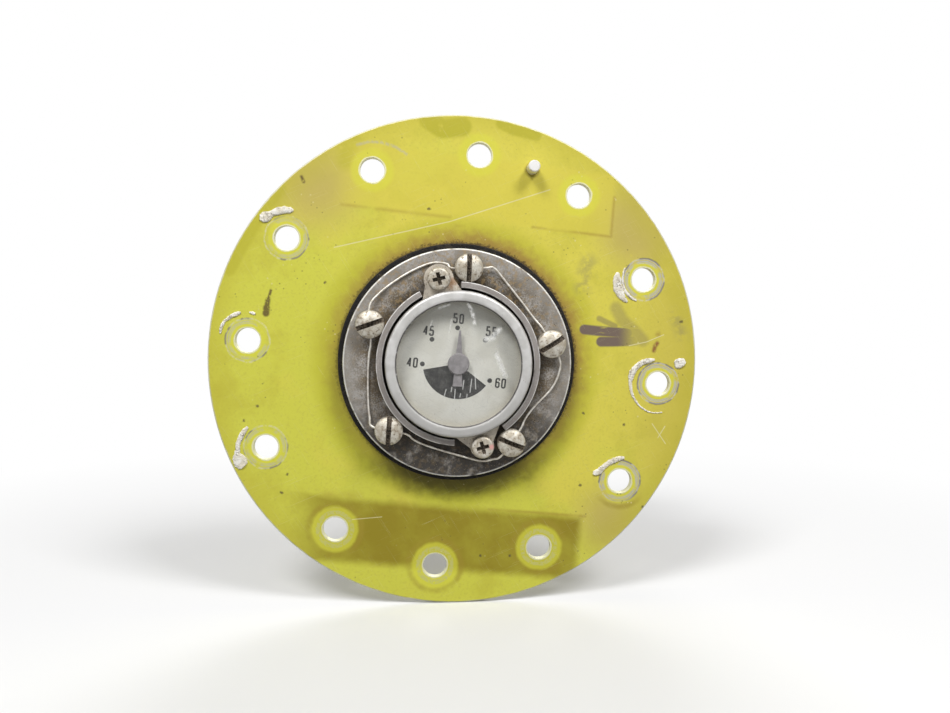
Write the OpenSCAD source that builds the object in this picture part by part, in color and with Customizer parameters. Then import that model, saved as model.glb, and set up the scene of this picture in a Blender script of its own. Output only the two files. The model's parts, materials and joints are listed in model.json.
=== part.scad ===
// Tank fuel gauge: a round bolt-on cover plate that carries a magnetic dial head,
// with a float arm, a bevel gear pair and a drive magnet behind it.
// Pieces are drawn lying down, dial facing +Z and "up" along +Y, and stood up at the end:
// the dial then faces -Y, and the origin is the bolt circle's centre on the plate's rear face.
// Angles around the dial are clockwise from the top, seen from the front.

/* [Cover plate] */
// Outside diameter of the cover plate
plate_d = 142; // [136:1:170]
// Thickness of the cover plate
plate_t = 2.3; // [1.5:0.1:4]
// Broken edge of the cover plate
plate_edge = 0.4; // [0.1:0.1:0.6]
// Distance from the plate's rim in to the circle of its bolt holes
bolt_margin = 11; // [8:0.5:15]
// Number of bolt holes
bolt_count = 12; // [6:1:16]
// Diameter of a bolt hole
bolt_hole_d = 7; // [5:0.1:8]
// Turn of the first bolt hole and of the gauge on the plate
gauge_turn = 6.3; // [0:0.1:20]
// Diameter of the index pin
pin_d = 3.4; // [2:0.1:5]
// Height of the index pin over the plate
pin_h = 4.8; // [2:0.1:8]

/* [Gauge head] */
// How far the head's flange reaches past the heads of its screws
flange_margin = 1.55; // [1.05:0.05:5.05]
// Thickness of the head's flange
flange_t = 4; // [3.8:0.1:6]
// Clear gap between the dial case and the wall around it
case_gap = 1.7; // [1.4:0.1:2]
// Thickness of the wall around the dial
wall_t = 1.7; // [1.2:0.1:1.8]
// Height of that wall over the flange
wall_h = 3.4; // [2:0.1:5]
// Depth of the dial well under the flange's top
well_depth = 3.3; // [2.5:0.1:3.5]
// Thickness of the sealed wall under the dial
roof_t = 1.8; // [1:0.1:2.5]
// Diameter of the boss that passes through the plate
boss_d = 38; // [36:0.5:40]
// Length of the boss under the flange
boss_h = 15.9; // [14:0.1:20]
// Diameter of the magnet chamber in the boss
chamber_d = 31; // [28:0.5:31]
// Thickness of the flange gasket
gasket_t = 1.6; // [0.8:0.1:3]
// How far the gasket shows past the flange
gasket_lip = 1.7; // [0:0.1:2.5]
// Thickness of the tapped backing ring
backing_t = 4; // [3:0.1:6]
// How far the backing ring reaches past the screws in it
backing_margin = 2.6; // [1.6:0.1:5.6]

/* [Flange screws] */
// Gap between the wall around the dial and the heads of the five flange screws
head_gap = 0.05; // [0.05:0.05:0.55]
// Thread diameter of a flange screw
screw_d = 4.8; // [4:0.1:5]
// Diameter of a slotted head
head_d = 7.9; // [7:0.1:8]
// Height of the straight side of a head
head_h = 3; // [2.6:0.1:4]
// Rise of the head's crown
crown_h = 1.2; // [0.6:0.1:1.6]
// Width of a screw slot
slot_w = 1.35; // [0.8:0.05:1.6]
// Depth of a screw slot
slot_depth = 1.8; // [1:0.1:2]
// How far a screw's end shows behind the backing ring
screw_proud = 1.2; // [0.2:0.1:2]
// Diameter of the lock wire
wire_d = 0.64; // [0.5:0.02:0.8]

/* [Dial] */
// Diameter of the dial case
case_d = 39.2; // [38.5:0.1:39.4]
// Wall of the dial case
case_t = 1.2; // [0.8:0.1:1.6]
// Floor of the dial case
case_floor = 1; // [0.8:0.1:1.4]
// Height of the dial case
case_h = 7; // [6.8:0.1:8]
// Gap between the bezel and the heads of the two dial screws
dial_head_gap = 0.6; // [0.3:0.1:0.9]
// Thread diameter of a dial screw
dial_screw_d = 3.4; // [2.5:0.1:3.8]
// Head diameter of a dial screw
dial_head_d = 6.4; // [5.5:0.1:6.6]
// Head height of a dial screw
dial_head_h = 2.2; // [1.6:0.1:3]
// Radius of the upper ear's round end
top_ear_r = 4.2; // [3.2:0.1:4.4]
// Radius of the lower ear's round end
low_ear_r = 3.4; // [3.2:0.1:3.8]
// Thickness of an ear
ear_t = 1.4; // [1:0.1:1.5]
// Height of the pad under an ear
pad_h = 1; // [0.5:0.1:1.1]
// Thickness of the lens seal
seal_t = 0.5; // [0.3:0.1:0.8]
// Thickness of the lens at its rim
lens_rim_t = 1; // [0.6:0.1:1.6]
// Thickness of the lens's window
lens_t = 1; // [0.8:0.1:1.2]
// Rise of the domed window over its rim
lens_rise = 1.2; // [0.4:0.1:2]
// How far the bezel's lip laps over the lens
lip_w = 1.7; // [1.4:0.1:2.5]
// Thickness of the bezel's side
bezel_t = 0.85; // [0.6:0.05:1]
// Thickness of the bezel's lip over the lens
bezel_lip = 0.7; // [0.5:0.1:1.2]
// Depth of the dial face under the case's rim
dial_depth = 2.4; // [2:0.1:2.6]
// Thickness of the dial plate
dial_t = 0.6; // [0.4:0.1:0.8]

/* [Pointer] */
// Length of the pointer from the hub's centre to its tip
pointer_l = 9.4; // [7:0.1:14]
// Length of the pointer's tail
tail_l = 6.3; // [4:0.1:8]
// Width of the tail's end
tail_w = 2.8; // [1.5:0.1:4]
// Width of the pointer where it leaves the hub
pointer_w = 1.75; // [1:0.05:2.5]
// Width of the pointer's tip
tip_w = 0.5; // [0.3:0.05:1]
// Thickness of the pointer
pointer_t = 0.4; // [0.3:0.05:0.6]
// Diameter of the pointer's hub
hub_d = 6.1; // [3:0.1:8]
// Diameter of the pointer's staff
staff_d = 1; // [0.8:0.05:1.2]
// Diameter of the pointer's magnet
pointer_magnet_d = 15; // [10:0.5:30]
// Thickness of the pointer's magnet
pointer_magnet_t = 1.2; // [0.8:0.1:1.4]
// Reading at which the pointer rests, clockwise from the top
pointer_rest = 3; // [-20:1:20]

/* [Drive] */
// Diameter of the drive magnet
drive_magnet_d = 20; // [14:0.5:27]
// Thickness of the drive magnet
drive_magnet_t = 5; // [3:0.1:6]
// Diameter of the magnet carrier's spindle
carrier_d = 6; // [5:0.1:8]
// Diameter of the drive shaft
shaft_d = 2.5; // [2:0.1:2.6]
// Outside diameter of the support column
column_d = 10; // [9.5:0.1:12]
// Bore of the support column, which takes the bushes
column_bore = 7.2; // [6.6:0.1:7.6]
// Thickness of the column's flange
column_flange_t = 3; // [2:0.1:5]
// Length of a shaft bush
bush_l = 4; // [3:0.1:6]

/* [Gears] */
// Depth of the float's pivot behind the plate's rear face
pivot_depth = 48; // [47:0.5:60]
// Tooth size of the bevel gears, as a module
tooth_module = 0.6; // [0.55:0.01:0.62]
// Teeth on the pinion
pinion_teeth = 12; // [11:1:13]
// Teeth on the float's gear sector, an even number
sector_teeth = 10; // [10:2:12]
// Width of the teeth along the cone
face_w = 3.6; // [2.5:0.1:4]
// Play between the teeth at the pitch line
backlash = 0.12; // [0.1:0.02:0.2]
// Lowest reading of the dial, clockwise from the pointer's rest
dial_low = -93; // [-93:1:-60]
// Highest reading of the dial, clockwise from the pointer's rest
dial_high = 116; // [60:1:116]

/* [Gear housing] */
// Clear gap between the housing's cheeks
cheek_gap = 13.8; // [13.6:0.1:14.1]
// Thickness of a cheek
cheek_t = 2.5; // [2:0.1:4]
// Width of a cheek
cheek_w = 14; // [13:0.5:18]
// Thickness of the bridge between the cheeks
bridge_t = 4; // [3.5:0.1:6]
// Diameter of the collar on the column
collar_d = 16; // [15:0.5:18]
// Height of that collar
collar_h = 8.6; // [7:0.1:10]
// Diameter of the pivot shaft
pivot_d = 3; // [2.5:0.1:3.2]
// Wall of a pivot bush
pivot_bush_t = 1.1; // [0.8:0.1:1.4]

/* [Float] */
// Reach of the float from the pivot
arm_reach = 46; // [44:1:48]
// Diameter of the float arm's rod
arm_d = 2; // [1.6:0.1:2.2]
// How far the rod passes under the pivot
arm_drop = 3.2; // [3:0.1:3.5]
// Diameter of the float
float_d = 22; // [16:0.5:24]
// Length of the float
float_l = 40; // [36:1:44]

/* [Hidden] */
$fn = 64;

// Clearances shared by the fits
fit_gap = 0.02;      // pressed or screwed pieces of one body
run_gap = 0.05;      // a shaft in its bush
hole_gap = 0.2;      // a screw through a clearance hole
end_play = 0.3;      // along a shaft, between a turning and a fixed face
seat_gap = 0.5;      // around the boss in the plate
overlap = 0.2;       // how far united shapes run into each other
edge = 0.3;          // broken edges of turned pieces

// Levels through the stack, measured along the dial's axis from the plate's rear face
flange_z = plate_t + gasket_t;
deck_z = flange_z + flange_t;
wall_z = deck_z + wall_h;
well_z = deck_z - well_depth;
roof_z = well_z - roof_t;
boss_z = flange_z - boss_h;
case_z = well_z + case_h;
ear_z = deck_z + pad_h;
seal_z = case_z + seal_t;
lens_z = seal_z + lens_rim_t;
bezel_z = lens_z + bezel_lip;
dial_z = case_z - dial_depth;
pointer_gap = 1.2;
pointer_z = dial_z + pointer_gap;

// Radii of the head and the dial
case_r = case_d / 2;
well_r = case_r + case_gap;
wall_r = well_r + wall_t;
boss_r = boss_d / 2;
bezel_r = case_r + run_gap + bezel_t;
dial_screw_r = bezel_r + dial_head_gap + dial_head_d / 2;
screw_r = wall_r + head_gap + head_d / 2;
flange_r = screw_r + head_d / 2 + flange_margin;
backing_r = screw_r + screw_d / 2 + backing_margin;
bolt_r = plate_d / 2 - bolt_margin;
case_in = case_r - case_t;
rim_r = case_r - case_t / 2;
window_r = rim_r - lip_w;
ledge_w = 0.8;
ear_turns = [-13, 164];
ear_cuts = [15, 19];
ear_roots = [6.2, 7.5];
ear_ends = [top_ear_r, low_ear_r];
pin_turn = gauge_turn + 180 / bolt_count;
pin_step = 0.5;

// Bearings of the pointer's staff
dial_bush_t = 1;
dial_bush_r = staff_d / 2 + dial_bush_t;
dial_bush_lip = 0.3;
jewel_t = 0.8;
jewel_r = staff_d / 2 + jewel_t;
jewel_low = well_z + case_floor / 2;
jewel_proud = 0.6;
jewel_h = case_floor / 2 + jewel_proud;
jewel_cup = 0.3;
staff_play = 0.1;
staff_low = jewel_low + jewel_cup + staff_play;
hub_t = 0.5;
hub_bore = 0.3;
staff_high = pointer_z + pointer_t + hub_bore - fit_gap;
magnet_lift = 0.6;

// Flange screws: their places, the turn of each slot and of each drilled wire hole
screw_turns = [for (a = [0, 72, 140, 220, 288]) a + gauge_turn];
slot_turns = [2, 58, 112, 4, 71];
wire_turns = [7, 18, 21, 34, 27];
wire_hole_h = 1.4;
wire_hole_d = wire_d + 2 * hole_gap;
wire_lead = 0.5;
wire_reach = head_d / 2 + wire_lead;

// Places along each stretch of lock wire between two heads: share of the way, radius over the
// screw circle and height over the flange, chosen by hand
wire_stretches = [
  [[0.1, 1.7, 1], [0.27, -0.2, 0.6], [0.56, -1.9, 0.5], [0.82, -2, 0.8]],
  [[0.18, 1.8, 0.9], [0.38, 0.5, 0.5], [0.66, -2, 0.5], [0.86, -2.2, 0.9]],
  [[0.09, 2, 1], [0.19, 1.6, 0.5], [0.34, -0.3, 0.5], [0.69, -2.1, 0.5], [0.87, -2.1, 0.9]],
  [[0.11, 2, 1], [0.28, 0.3, 0.5], [0.57, -1.5, 0.5], [0.82, -1.9, 0.9]],
  [[0.17, 2.6, 0.8], [0.41, 2.1, 0.5], [0.62, 2.1, 0.5], [0.8, 2.2, 0.5], [0.94, 1.2, 0.9]]
];

// Bevel pair, whose cones meet on the pivot's axis
pivot_z = -pivot_depth;
gear_ratio = 3;
gear_teeth = pinion_teeth * gear_ratio;
sector_half = sector_teeth * 180 / gear_teeth;
pinion_pitch_r = pinion_teeth * tooth_module / 2;
gear_pitch_r = gear_teeth * tooth_module / 2;
cone_l = sqrt(pinion_pitch_r * pinion_pitch_r + gear_pitch_r * gear_pitch_r);
pinion_cone = atan2(pinion_pitch_r, gear_pitch_r);
gear_cone = 90 - pinion_cone;
face_share = (cone_l - face_w) / cone_l;
pressure_angle = 25;
addendum = tooth_module;
dedendum = 1.25 * tooth_module;
gear_tip_r = gear_pitch_r + addendum * cos(gear_cone);
gear_rim_t = 2.3;
gear_back = pinion_pitch_r + gear_rim_t;
web_t = 1.2;
web_r = 7.5;
band_in = 6.5;
gear_hub_r = 3.4;
pinion_hub_r = 2.4;
stop_r = 5.2;
stop_pin_d = 2;
stop_spare = 0.9;
float_low = dial_low / gear_ratio;
float_high = dial_high / gear_ratio;

// Drive line
magnet_gap = 1.3;
magnet_z = roof_z - magnet_gap;
magnet_low = magnet_z - drive_magnet_t;
bush_flange_t = 1;
bush_flange_w = 1.2;
carrier_flange_t = 1.5;
carrier_flange_w = 3;
gear_clear = 1.2;
bridge_z = pivot_z + gear_tip_r + gear_clear;
bridge_floor = 2.6;
column_z = bridge_z + bridge_floor;
collar_z = bridge_z + bridge_t + collar_h;
column_flange_r = boss_r - seat_gap;
column_screw_turns = [60, 180, 300];
column_screw_r = (boss_r + chamber_d / 2) / 2;
column_screw_d = 2.2;
column_head_d = 3.4;
column_head_h = 1.5;
column_screw_l = 6;
pinion_in = gear_pitch_r * face_share;

// Pivot and float
cheek_out = cheek_gap / 2 + cheek_t;
grub_d = 2.5;
bush_lip_t = 0.5;
bush_lip_w = 1;
pivot_bush_r = pivot_d / 2 + run_gap + pivot_bush_t;
clamp_y = cheek_out + bush_lip_t + end_play;
clamp_w = 6;
clamp_r = 4.2;
clamp_half = 4.5;
clamp_wall = 4;
clamp_low = arm_drop + clamp_wall;
clamp_screw_d = 2.4;
clamp_head_d = 4.4;
clamp_head_h = 1.8;
clip_t = 0.6;
clip_w = 1.5;
clip_groove = 0.3;
clip_y = -(cheek_out + bush_lip_t + end_play + clip_t);
pivot_proud = 0.8;
pivot_end = pivot_proud - clip_y;
arm_y = clamp_y + clamp_w / 2;
arm_z = pivot_z - arm_drop;
retainer_t = 0.8;
retainer_w = 2.2;
retainer_gap = 0.05;
retainer_out = float_l / 2 + retainer_gap + retainer_t;
arm_tail = 7;
arm_knee = 16;
arm_elbow = 30;
arm_bend = 3.5;
arm_spare = 0.6;
arm_over = 2.4;
arm_out = retainer_out + arm_bend + arm_spare;
arm_end = retainer_out + arm_over;
arm_route = [[-arm_tail, arm_y], [arm_knee, arm_y], [arm_elbow, arm_out], [arm_reach, arm_out],
  [arm_reach, -arm_end]];
float_edge = 2;

// A place at a clock angle and a radius
module at_clock(turn, r) {
  rotate([0, 0, -turn]) translate([0, r, 0]) children();
}

// A disc or ring with broken edges on its outside
module ring(r, r_in, h, e) {
  rotate_extrude() polygon([[r_in, 0], [r - e, 0], [r, e], [r, h - e], [r - e, h], [r_in, h]]);
}

// A plain tube
module tube(r, r_in, h) {
  difference() {
    cylinder(r = r, h = h);
    translate([0, 0, -overlap]) cylinder(r = r_in, h = h + 2 * overlap);
  }
}

// A rod along +Y from the given y to y + l
module along_y(y, r, l) {
  translate([0, y, 0]) rotate([-90, 0, 0]) cylinder(r = r, h = l);
}

// Side faces of a sweep, and its two end faces unless it closes on itself
function sweep_faces(rings, sides, closed) = concat(
  [for (i = [0 : (closed ? rings : rings - 1) - 1], j = [0 : sides - 1])
    let (k = (j + 1) % sides, n = (i + 1) % rings)
    each [[i * sides + j, n * sides + j, n * sides + k], [i * sides + j, n * sides + k, i * sides + k]]],
  closed ? [] : [[for (j = [0 : sides - 1]) j], [for (j = [0 : sides - 1]) rings * sides - 1 - j]]);

function unit(v) = v / norm(v);

// A round wire along a path that never runs straight up
module wire(path, r, closed) {
  sides = 8;
  count = len(path);
  rings = [for (i = [0 : count - 1])
    let (before = path[closed ? (i + count - 1) % count : max(i - 1, 0)],
      after = path[closed ? (i + 1) % count : min(i + 1, count - 1)],
      t = unit(after - before), s = unit(cross(t, [0, 0, 1])), u = cross(s, t))
    each [for (j = [0 : sides - 1]) path[i] + r * (cos(j * 360 / sides) * s + sin(j * 360 / sides) * u)]];
  polyhedron(rings, sweep_faces(count, sides, closed), convexity = 6);
}

// A point on a smooth curve through b and c, with a before and d after
function curve(a, b, c, d, t) = 0.5 * (2 * b + (c - a) * t + (2 * a - 5 * b + 4 * c - d) * t * t
  + (3 * b - a - 3 * c + d) * t * t * t);

// A flat path with its corners rounded, at one height
function rounded(path, back, z) = concat([[path[0].x, path[0].y, z]],
  [for (i = [1 : len(path) - 2])
    let (p = path[i], a = p + back * unit(path[i - 1] - p), b = p + back * unit(path[i + 1] - p))
    each [for (t = [0 : 0.2 : 1]) let (q = (1 - t) * (1 - t) * a + 2 * t * (1 - t) * p + t * t * b)
      [q.x, q.y, z]]],
  [[path[len(path) - 1].x, path[len(path) - 1].y, z]]);

// Tooth outline of one bevel gear on its back cone: distances from the back cone's tip and
// angles around the gear, for one tooth
function involute(a) = tan(a) * 180 / PI - a;
function half_tooth(r, pitch_r, base_r) = let (thick = PI * tooth_module / 2 - backlash / 2)
  thick / 2 / pitch_r * 180 / PI + involute(pressure_angle) - involute(acos(min(1, base_r / r)));
function tooth(pitch_r, cone) = let (base_r = pitch_r * cos(pressure_angle), root = pitch_r - dedendum,
    tip = pitch_r + addendum, from = max(root, base_r),
    side = concat([[root, half_tooth(from, pitch_r, base_r)]],
      [for (i = [0 : 3]) let (r = from + (tip - from) * i / 3) [r, half_tooth(r, pitch_r, base_r)]]))
  concat([for (p = side) [p[0], -p[1] / cos(cone)]],
    [for (i = [len(side) - 1 : -1 : 0]) [side[i][0], side[i][1] / cos(cone)]]);

// A toothed bevel band about +Z with its cone's tip at the origin; back lists the radius and
// height of each plain edge, from the teeth's small end round to their large end
module bevel_band(teeth, cone, first, count, back, ends, closed) {
  pitch = 360 / teeth;
  outline = tooth(cone_l * tan(cone), cone);
  root = [outline[0][0], 0];
  profile = concat(ends == 0 ? [] : [[root[0], -ends]],
    [for (i = [0 : count - 1]) each [for (p = outline) [p[0], p[1] + first + i * pitch]]],
    ends == 0 ? [] : [[root[0], ends]]);
  points = [for (p = profile)
    let (r = p[0] * cos(cone), z = cone_l / cos(cone) - p[0] * sin(cone), c = cos(p[1]), s = sin(p[1]))
    each concat([[r * c, r * s, z], [r * face_share * c, r * face_share * s, z * face_share]],
      [for (b = back) [b[0] * c, b[0] * s, b[1]]])];
  polyhedron(points, sweep_faces(len(profile), 2 + len(back), closed), convexity = 20);
}

// Cover and head

module cover_plate() {
  color("yellowgreen") difference() {
    ring(plate_d / 2, boss_r + seat_gap, plate_t, plate_edge);
    for (i = [0 : bolt_count - 1])
      at_clock(gauge_turn + i * 360 / bolt_count, bolt_r)
        translate([0, 0, -overlap]) cylinder(d = bolt_hole_d, h = plate_t + 2 * overlap);
    screw_holes(-overlap, plate_t + overlap, hole_gap);
    at_clock(pin_turn, bolt_r)
      translate([0, 0, -overlap]) cylinder(r = pin_d / 2 - pin_step + fit_gap, h = plate_t + 2 * overlap);
  }
}

// The index pin stands midway between the first two bolt holes, on a thinner shank
module index_pin() {
  color("silver") at_clock(pin_turn, bolt_r) {
    translate([0, 0, plate_t]) ring(pin_d / 2, 0, pin_h, edge);
    cylinder(r = pin_d / 2 - pin_step, h = plate_t + overlap);
  }
}

// Holes for the flange screws between two levels
module screw_holes(low, high, gap) {
  for (a = screw_turns)
    at_clock(a, screw_r) translate([0, 0, low]) cylinder(r = screw_d / 2 + gap, h = high - low);
}

module backing_ring() {
  color("slategray") translate([0, 0, -backing_t]) difference() {
    ring(backing_r, boss_r + 2 * seat_gap, backing_t, edge);
    screw_holes(-overlap, backing_t + overlap, fit_gap);
  }
}

module flange_gasket() {
  color("dimgray") difference() {
    translate([0, 0, plate_t]) ring(flange_r + gasket_lip, boss_r + seat_gap, gasket_t, edge);
    screw_holes(plate_t - overlap, flange_z + overlap, hole_gap);
  }
}

module gauge_head() {
  color("darkgray") difference() {
    union() {
      translate([0, 0, flange_z]) ring(flange_r, 0, flange_t, edge);
      translate([0, 0, boss_z]) cylinder(r = boss_r, h = boss_h + overlap);
      difference() {
        translate([0, 0, deck_z - 2 * edge]) ring(wall_r, well_r - overlap, wall_h + 2 * edge, edge);
        for (i = [0, 1])
          rotate([0, 0, -ear_turns[i]]) ear_cut(ear_cuts[i]);
      }
      for (i = [0, 1])
        at_clock(ear_turns[i], dial_screw_r)
          translate([0, 0, deck_z - overlap]) cylinder(r = ear_ends[i], h = pad_h + overlap);
    }
    translate([0, 0, well_z]) cylinder(r = well_r, h = wall_z - well_z + overlap);
    translate([0, 0, boss_z - overlap]) cylinder(d = chamber_d, h = roof_z - boss_z + overlap);
    screw_holes(flange_z - overlap, deck_z + overlap, hole_gap);
    for (a = ear_turns)
      at_clock(a, dial_screw_r)
        translate([0, 0, well_z]) cylinder(r = dial_screw_d / 2 + fit_gap, h = ear_z - well_z + overlap);
    column_holes(boss_z - overlap, boss_z + column_screw_l - column_flange_t + end_play, fit_gap);
  }
}

// The wedge that clears the wall for an ear, either side of straight up
module ear_cut(half) {
  reach = 2 * wall_r;
  translate([0, 0, deck_z - 3 * edge]) linear_extrude(wall_h + 4 * edge)
    polygon([[0, 0], [-reach * sin(half), reach * cos(half)], [reach * sin(half), reach * cos(half)]]);
}

module flange_screws() {
  crown_r = (head_d * head_d / 4 + crown_h * crown_h) / (2 * crown_h);
  shank = deck_z + backing_t + screw_proud;
  color("antiquewhite") for (i = [0 : len(screw_turns) - 1])
    at_clock(screw_turns[i], screw_r) difference() {
      union() {
        translate([0, 0, deck_z]) intersection() {
          cylinder(d = head_d, h = head_h + crown_h);
          translate([0, 0, head_h + crown_h - crown_r]) sphere(r = crown_r, $fn = 96);
        }
        translate([0, 0, deck_z - shank]) ring(screw_d / 2, 0, shank + 2 * edge, edge);
      }
      rotate([0, 0, screw_turns[i] - slot_turns[i]])
        translate([-slot_w / 2, -head_d, deck_z + head_h + crown_h - slot_depth])
          cube([slot_w, 2 * head_d, slot_depth + overlap]);
      rotate([0, 0, wire_turns[i]]) translate([-head_d, 0, deck_z + wire_hole_h])
        rotate([0, 90, 0]) cylinder(d = wire_hole_d, h = 2 * head_d);
    }
}

// A point beside a head, along its drilled hole: side is -1 where the wire enters, 1 where it leaves
function wire_end(i, side) = let (a = screw_turns[i], w = a - wire_turns[i])
  [screw_r * sin(a) + side * wire_reach * cos(w), screw_r * cos(a) - side * wire_reach * sin(w)];
function clock_of(p) = atan2(p.x, p.y);
function ahead(a, b) = b > a ? b : b + 360;

// The lock wire runs straight through each head and in a smooth curve between two heads
function wire_knots() = [for (i = [0 : len(screw_turns) - 1])
  let (j = (i + 1) % len(screw_turns), enter = wire_end(i, -1), leave = wire_end(i, 1),
    from = clock_of(leave), to = ahead(from, clock_of(wire_end(j, -1))))
  each concat([concat(enter, [deck_z + wire_hole_h, 0]), concat(leave, [deck_z + wire_hole_h, 1])],
    [for (s = wire_stretches[i]) let (a = from + s[0] * (to - from), r = screw_r + s[1])
      [r * sin(a), r * cos(a), deck_z + s[2], 1]])];
function place(k) = [k[0], k[1], k[2]];

module lock_wire() {
  knots = wire_knots();
  n = len(knots);
  path = [for (i = [0 : n - 1])
    let (a = knots[(i + n - 1) % n], b = knots[i], c = knots[(i + 1) % n], d = knots[(i + 2) % n])
    each [for (t = b[3] == 0 ? [0] : [0, 0.5]) curve(place(a), place(b), place(c), place(d), t)]];
  color("gainsboro") wire(path, wire_d / 2, true);
}

// Dial

module dial_case() {
  color("lightgray") difference() {
    union() {
      translate([0, 0, well_z]) cylinder(r = case_r, h = case_h);
      translate([0, 0, ear_z]) for (i = [0, 1])
        rotate([0, 0, -ear_turns[i]]) ear(ear_roots[i], ear_ends[i]);
    }
    translate([0, 0, well_z + case_floor]) cylinder(r = case_in - ledge_w, h = case_h);
    translate([0, 0, dial_z - dial_t]) cylinder(r = case_in, h = case_h);
    translate([0, 0, jewel_low]) cylinder(r = jewel_r + fit_gap, h = case_h);
    for (a = ear_turns)
      at_clock(a, dial_screw_r) translate([0, 0, ear_z - overlap])
        cylinder(r = dial_screw_d / 2 + hole_gap / 2, h = ear_t + 2 * overlap);
  }
}

// An ear pointing straight up: a tapered tongue with a round end
module ear(root, end_r) {
  neck = 0.9 * end_r;
  linear_extrude(ear_t) {
    translate([0, dial_screw_r]) circle(r = end_r);
    polygon([[-root, case_in], [-neck, dial_screw_r], [neck, dial_screw_r], [root, case_in]]);
  }
}

module bezel_ring() {
  skirt = ear_z + ear_t + run_gap;
  seat = case_r + run_gap;
  corner = 1;
  slope_w = 0.6;
  slope_h = 0.1;
  color("whitesmoke") rotate_extrude()
    polygon(concat([[seat, skirt], [bezel_r, skirt]],
      [for (a = [0 : 30 : 90]) [bezel_r - corner * (1 - cos(a)), bezel_z - corner * (1 - sin(a))]],
      [[window_r + slope_w, bezel_z - slope_h], [window_r, lens_z + fit_gap], [seat, lens_z + fit_gap]]));
}

module lens() {
  dome_r = (window_r * window_r + lens_rise * lens_rise) / (2 * lens_rise);
  color("azure", 0.4) difference() {
    union() {
      translate([0, 0, seal_z]) cylinder(r = rim_r, h = lens_rim_t);
      intersection() {
        translate([0, 0, seal_z]) cylinder(r = window_r - run_gap, h = lens_rim_t + lens_rise);
        translate([0, 0, lens_z + lens_rise - dome_r]) sphere(r = dome_r, $fn = 128);
      }
    }
    translate([0, 0, lens_z + lens_rise - dome_r]) sphere(r = dome_r - lens_t, $fn = 128);
  }
}

module lens_seal() {
  color("dimgray") translate([0, 0, case_z]) tube(rim_r, rim_r - case_t, seal_t);
}

module dial_plate() {
  color("ivory") translate([0, 0, dial_z - dial_t]) tube(case_in - run_gap, dial_bush_r + fit_gap, dial_t);
}

module dial_screws() {
  head_r = dial_head_d / 2;
  crown_w = 1.3;
  crown = 0.7;
  recess_w = 1.1;
  recess_l = 3.4;
  recess_depth = 1.3;
  shank = ear_z + ear_t - well_z - fit_gap;
  color("snow") for (a = ear_turns)
    at_clock(a, dial_screw_r) translate([0, 0, ear_z + ear_t]) difference() {
      union() {
        rotate_extrude() polygon(concat([[0, 0], [head_r, 0]],
          [for (t = [0 : 30 : 90]) [head_r - crown_w * (1 - cos(t)), dial_head_h - crown * (1 - sin(t))]],
          [[0, dial_head_h]]));
        translate([0, 0, -shank]) ring(dial_screw_d / 2, 0, shank + 2 * edge, edge);
      }
      for (t = [0, 90])
        rotate([0, 0, t]) translate([-recess_w / 2, -recess_l / 2, dial_head_h - recess_depth])
          cube([recess_w, recess_l, recess_depth + overlap]);
    }
}

module dial_bush() {
  color("goldenrod") difference() {
    union() {
      translate([0, 0, dial_z - dial_t]) cylinder(r = dial_bush_r, h = dial_t);
      translate([0, 0, dial_z]) cylinder(r = dial_bush_r + dial_bush_lip, h = dial_bush_lip);
    }
    translate([0, 0, dial_z - dial_t - overlap]) cylinder(r = staff_d / 2 + run_gap, h = 3 * dial_t);
  }
}

module jewel_bearing() {
  color("firebrick") translate([0, 0, jewel_low]) difference() {
    cylinder(r = jewel_r, h = jewel_h);
    translate([0, 0, jewel_cup]) cylinder(r = staff_d / 2 + run_gap, h = jewel_h);
  }
}

// Pointer

module pointer() {
  color("rosybrown") rotate([0, 0, -pointer_rest]) translate([0, 0, pointer_z]) difference() {
    linear_extrude(pointer_t)
      polygon([[-pointer_w / 2, 0], [-pointer_w / 2, hub_d / 2], [-tip_w / 2, pointer_l],
        [tip_w / 2, pointer_l], [pointer_w / 2, hub_d / 2], [pointer_w / 2, 0],
        [tail_w / 2, -tail_l], [-tail_w / 2, -tail_l]]);
    translate([0, 0, -overlap]) cylinder(r = staff_d / 2 + fit_gap, h = pointer_t + 2 * overlap);
  }
}

module pointer_hub() {
  color("gray") translate([0, 0, pointer_z + pointer_t]) difference() {
    rotate_extrude()
      polygon([[0, 0], [hub_d / 2, 0], [hub_d / 2, hub_t - edge], [hub_d / 2 - edge, hub_t], [0, hub_t]]);
    translate([0, 0, -overlap]) cylinder(r = staff_d / 2 + fit_gap, h = hub_bore + overlap);
  }
}

module pointer_staff() {
  color("silver") translate([0, 0, staff_low]) cylinder(d = staff_d, h = staff_high - staff_low);
}

module pointer_magnet() {
  color("darkslategray") translate([0, 0, dial_z - dial_t - magnet_lift - pointer_magnet_t])
    tube(pointer_magnet_d / 2, staff_d / 2 + fit_gap, pointer_magnet_t);
}

// Drive line behind the plate

// Holes for the three screws that hold the column to the boss
module column_holes(low, high, gap) {
  for (a = column_screw_turns)
    at_clock(a, column_screw_r) translate([0, 0, low]) cylinder(r = column_screw_d / 2 + gap, h = high - low);
}

module support_column() {
  color("lightsteelblue") difference() {
    union() {
      translate([0, 0, boss_z - column_flange_t]) ring(column_flange_r, 0, column_flange_t, edge);
      translate([0, 0, column_z]) cylinder(d = column_d, h = boss_z - column_z - overlap);
    }
    translate([0, 0, column_z - overlap]) cylinder(d = column_bore, h = boss_z - column_z + 2 * overlap);
    column_holes(boss_z - column_flange_t - overlap, boss_z + overlap, hole_gap);
  }
}

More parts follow.
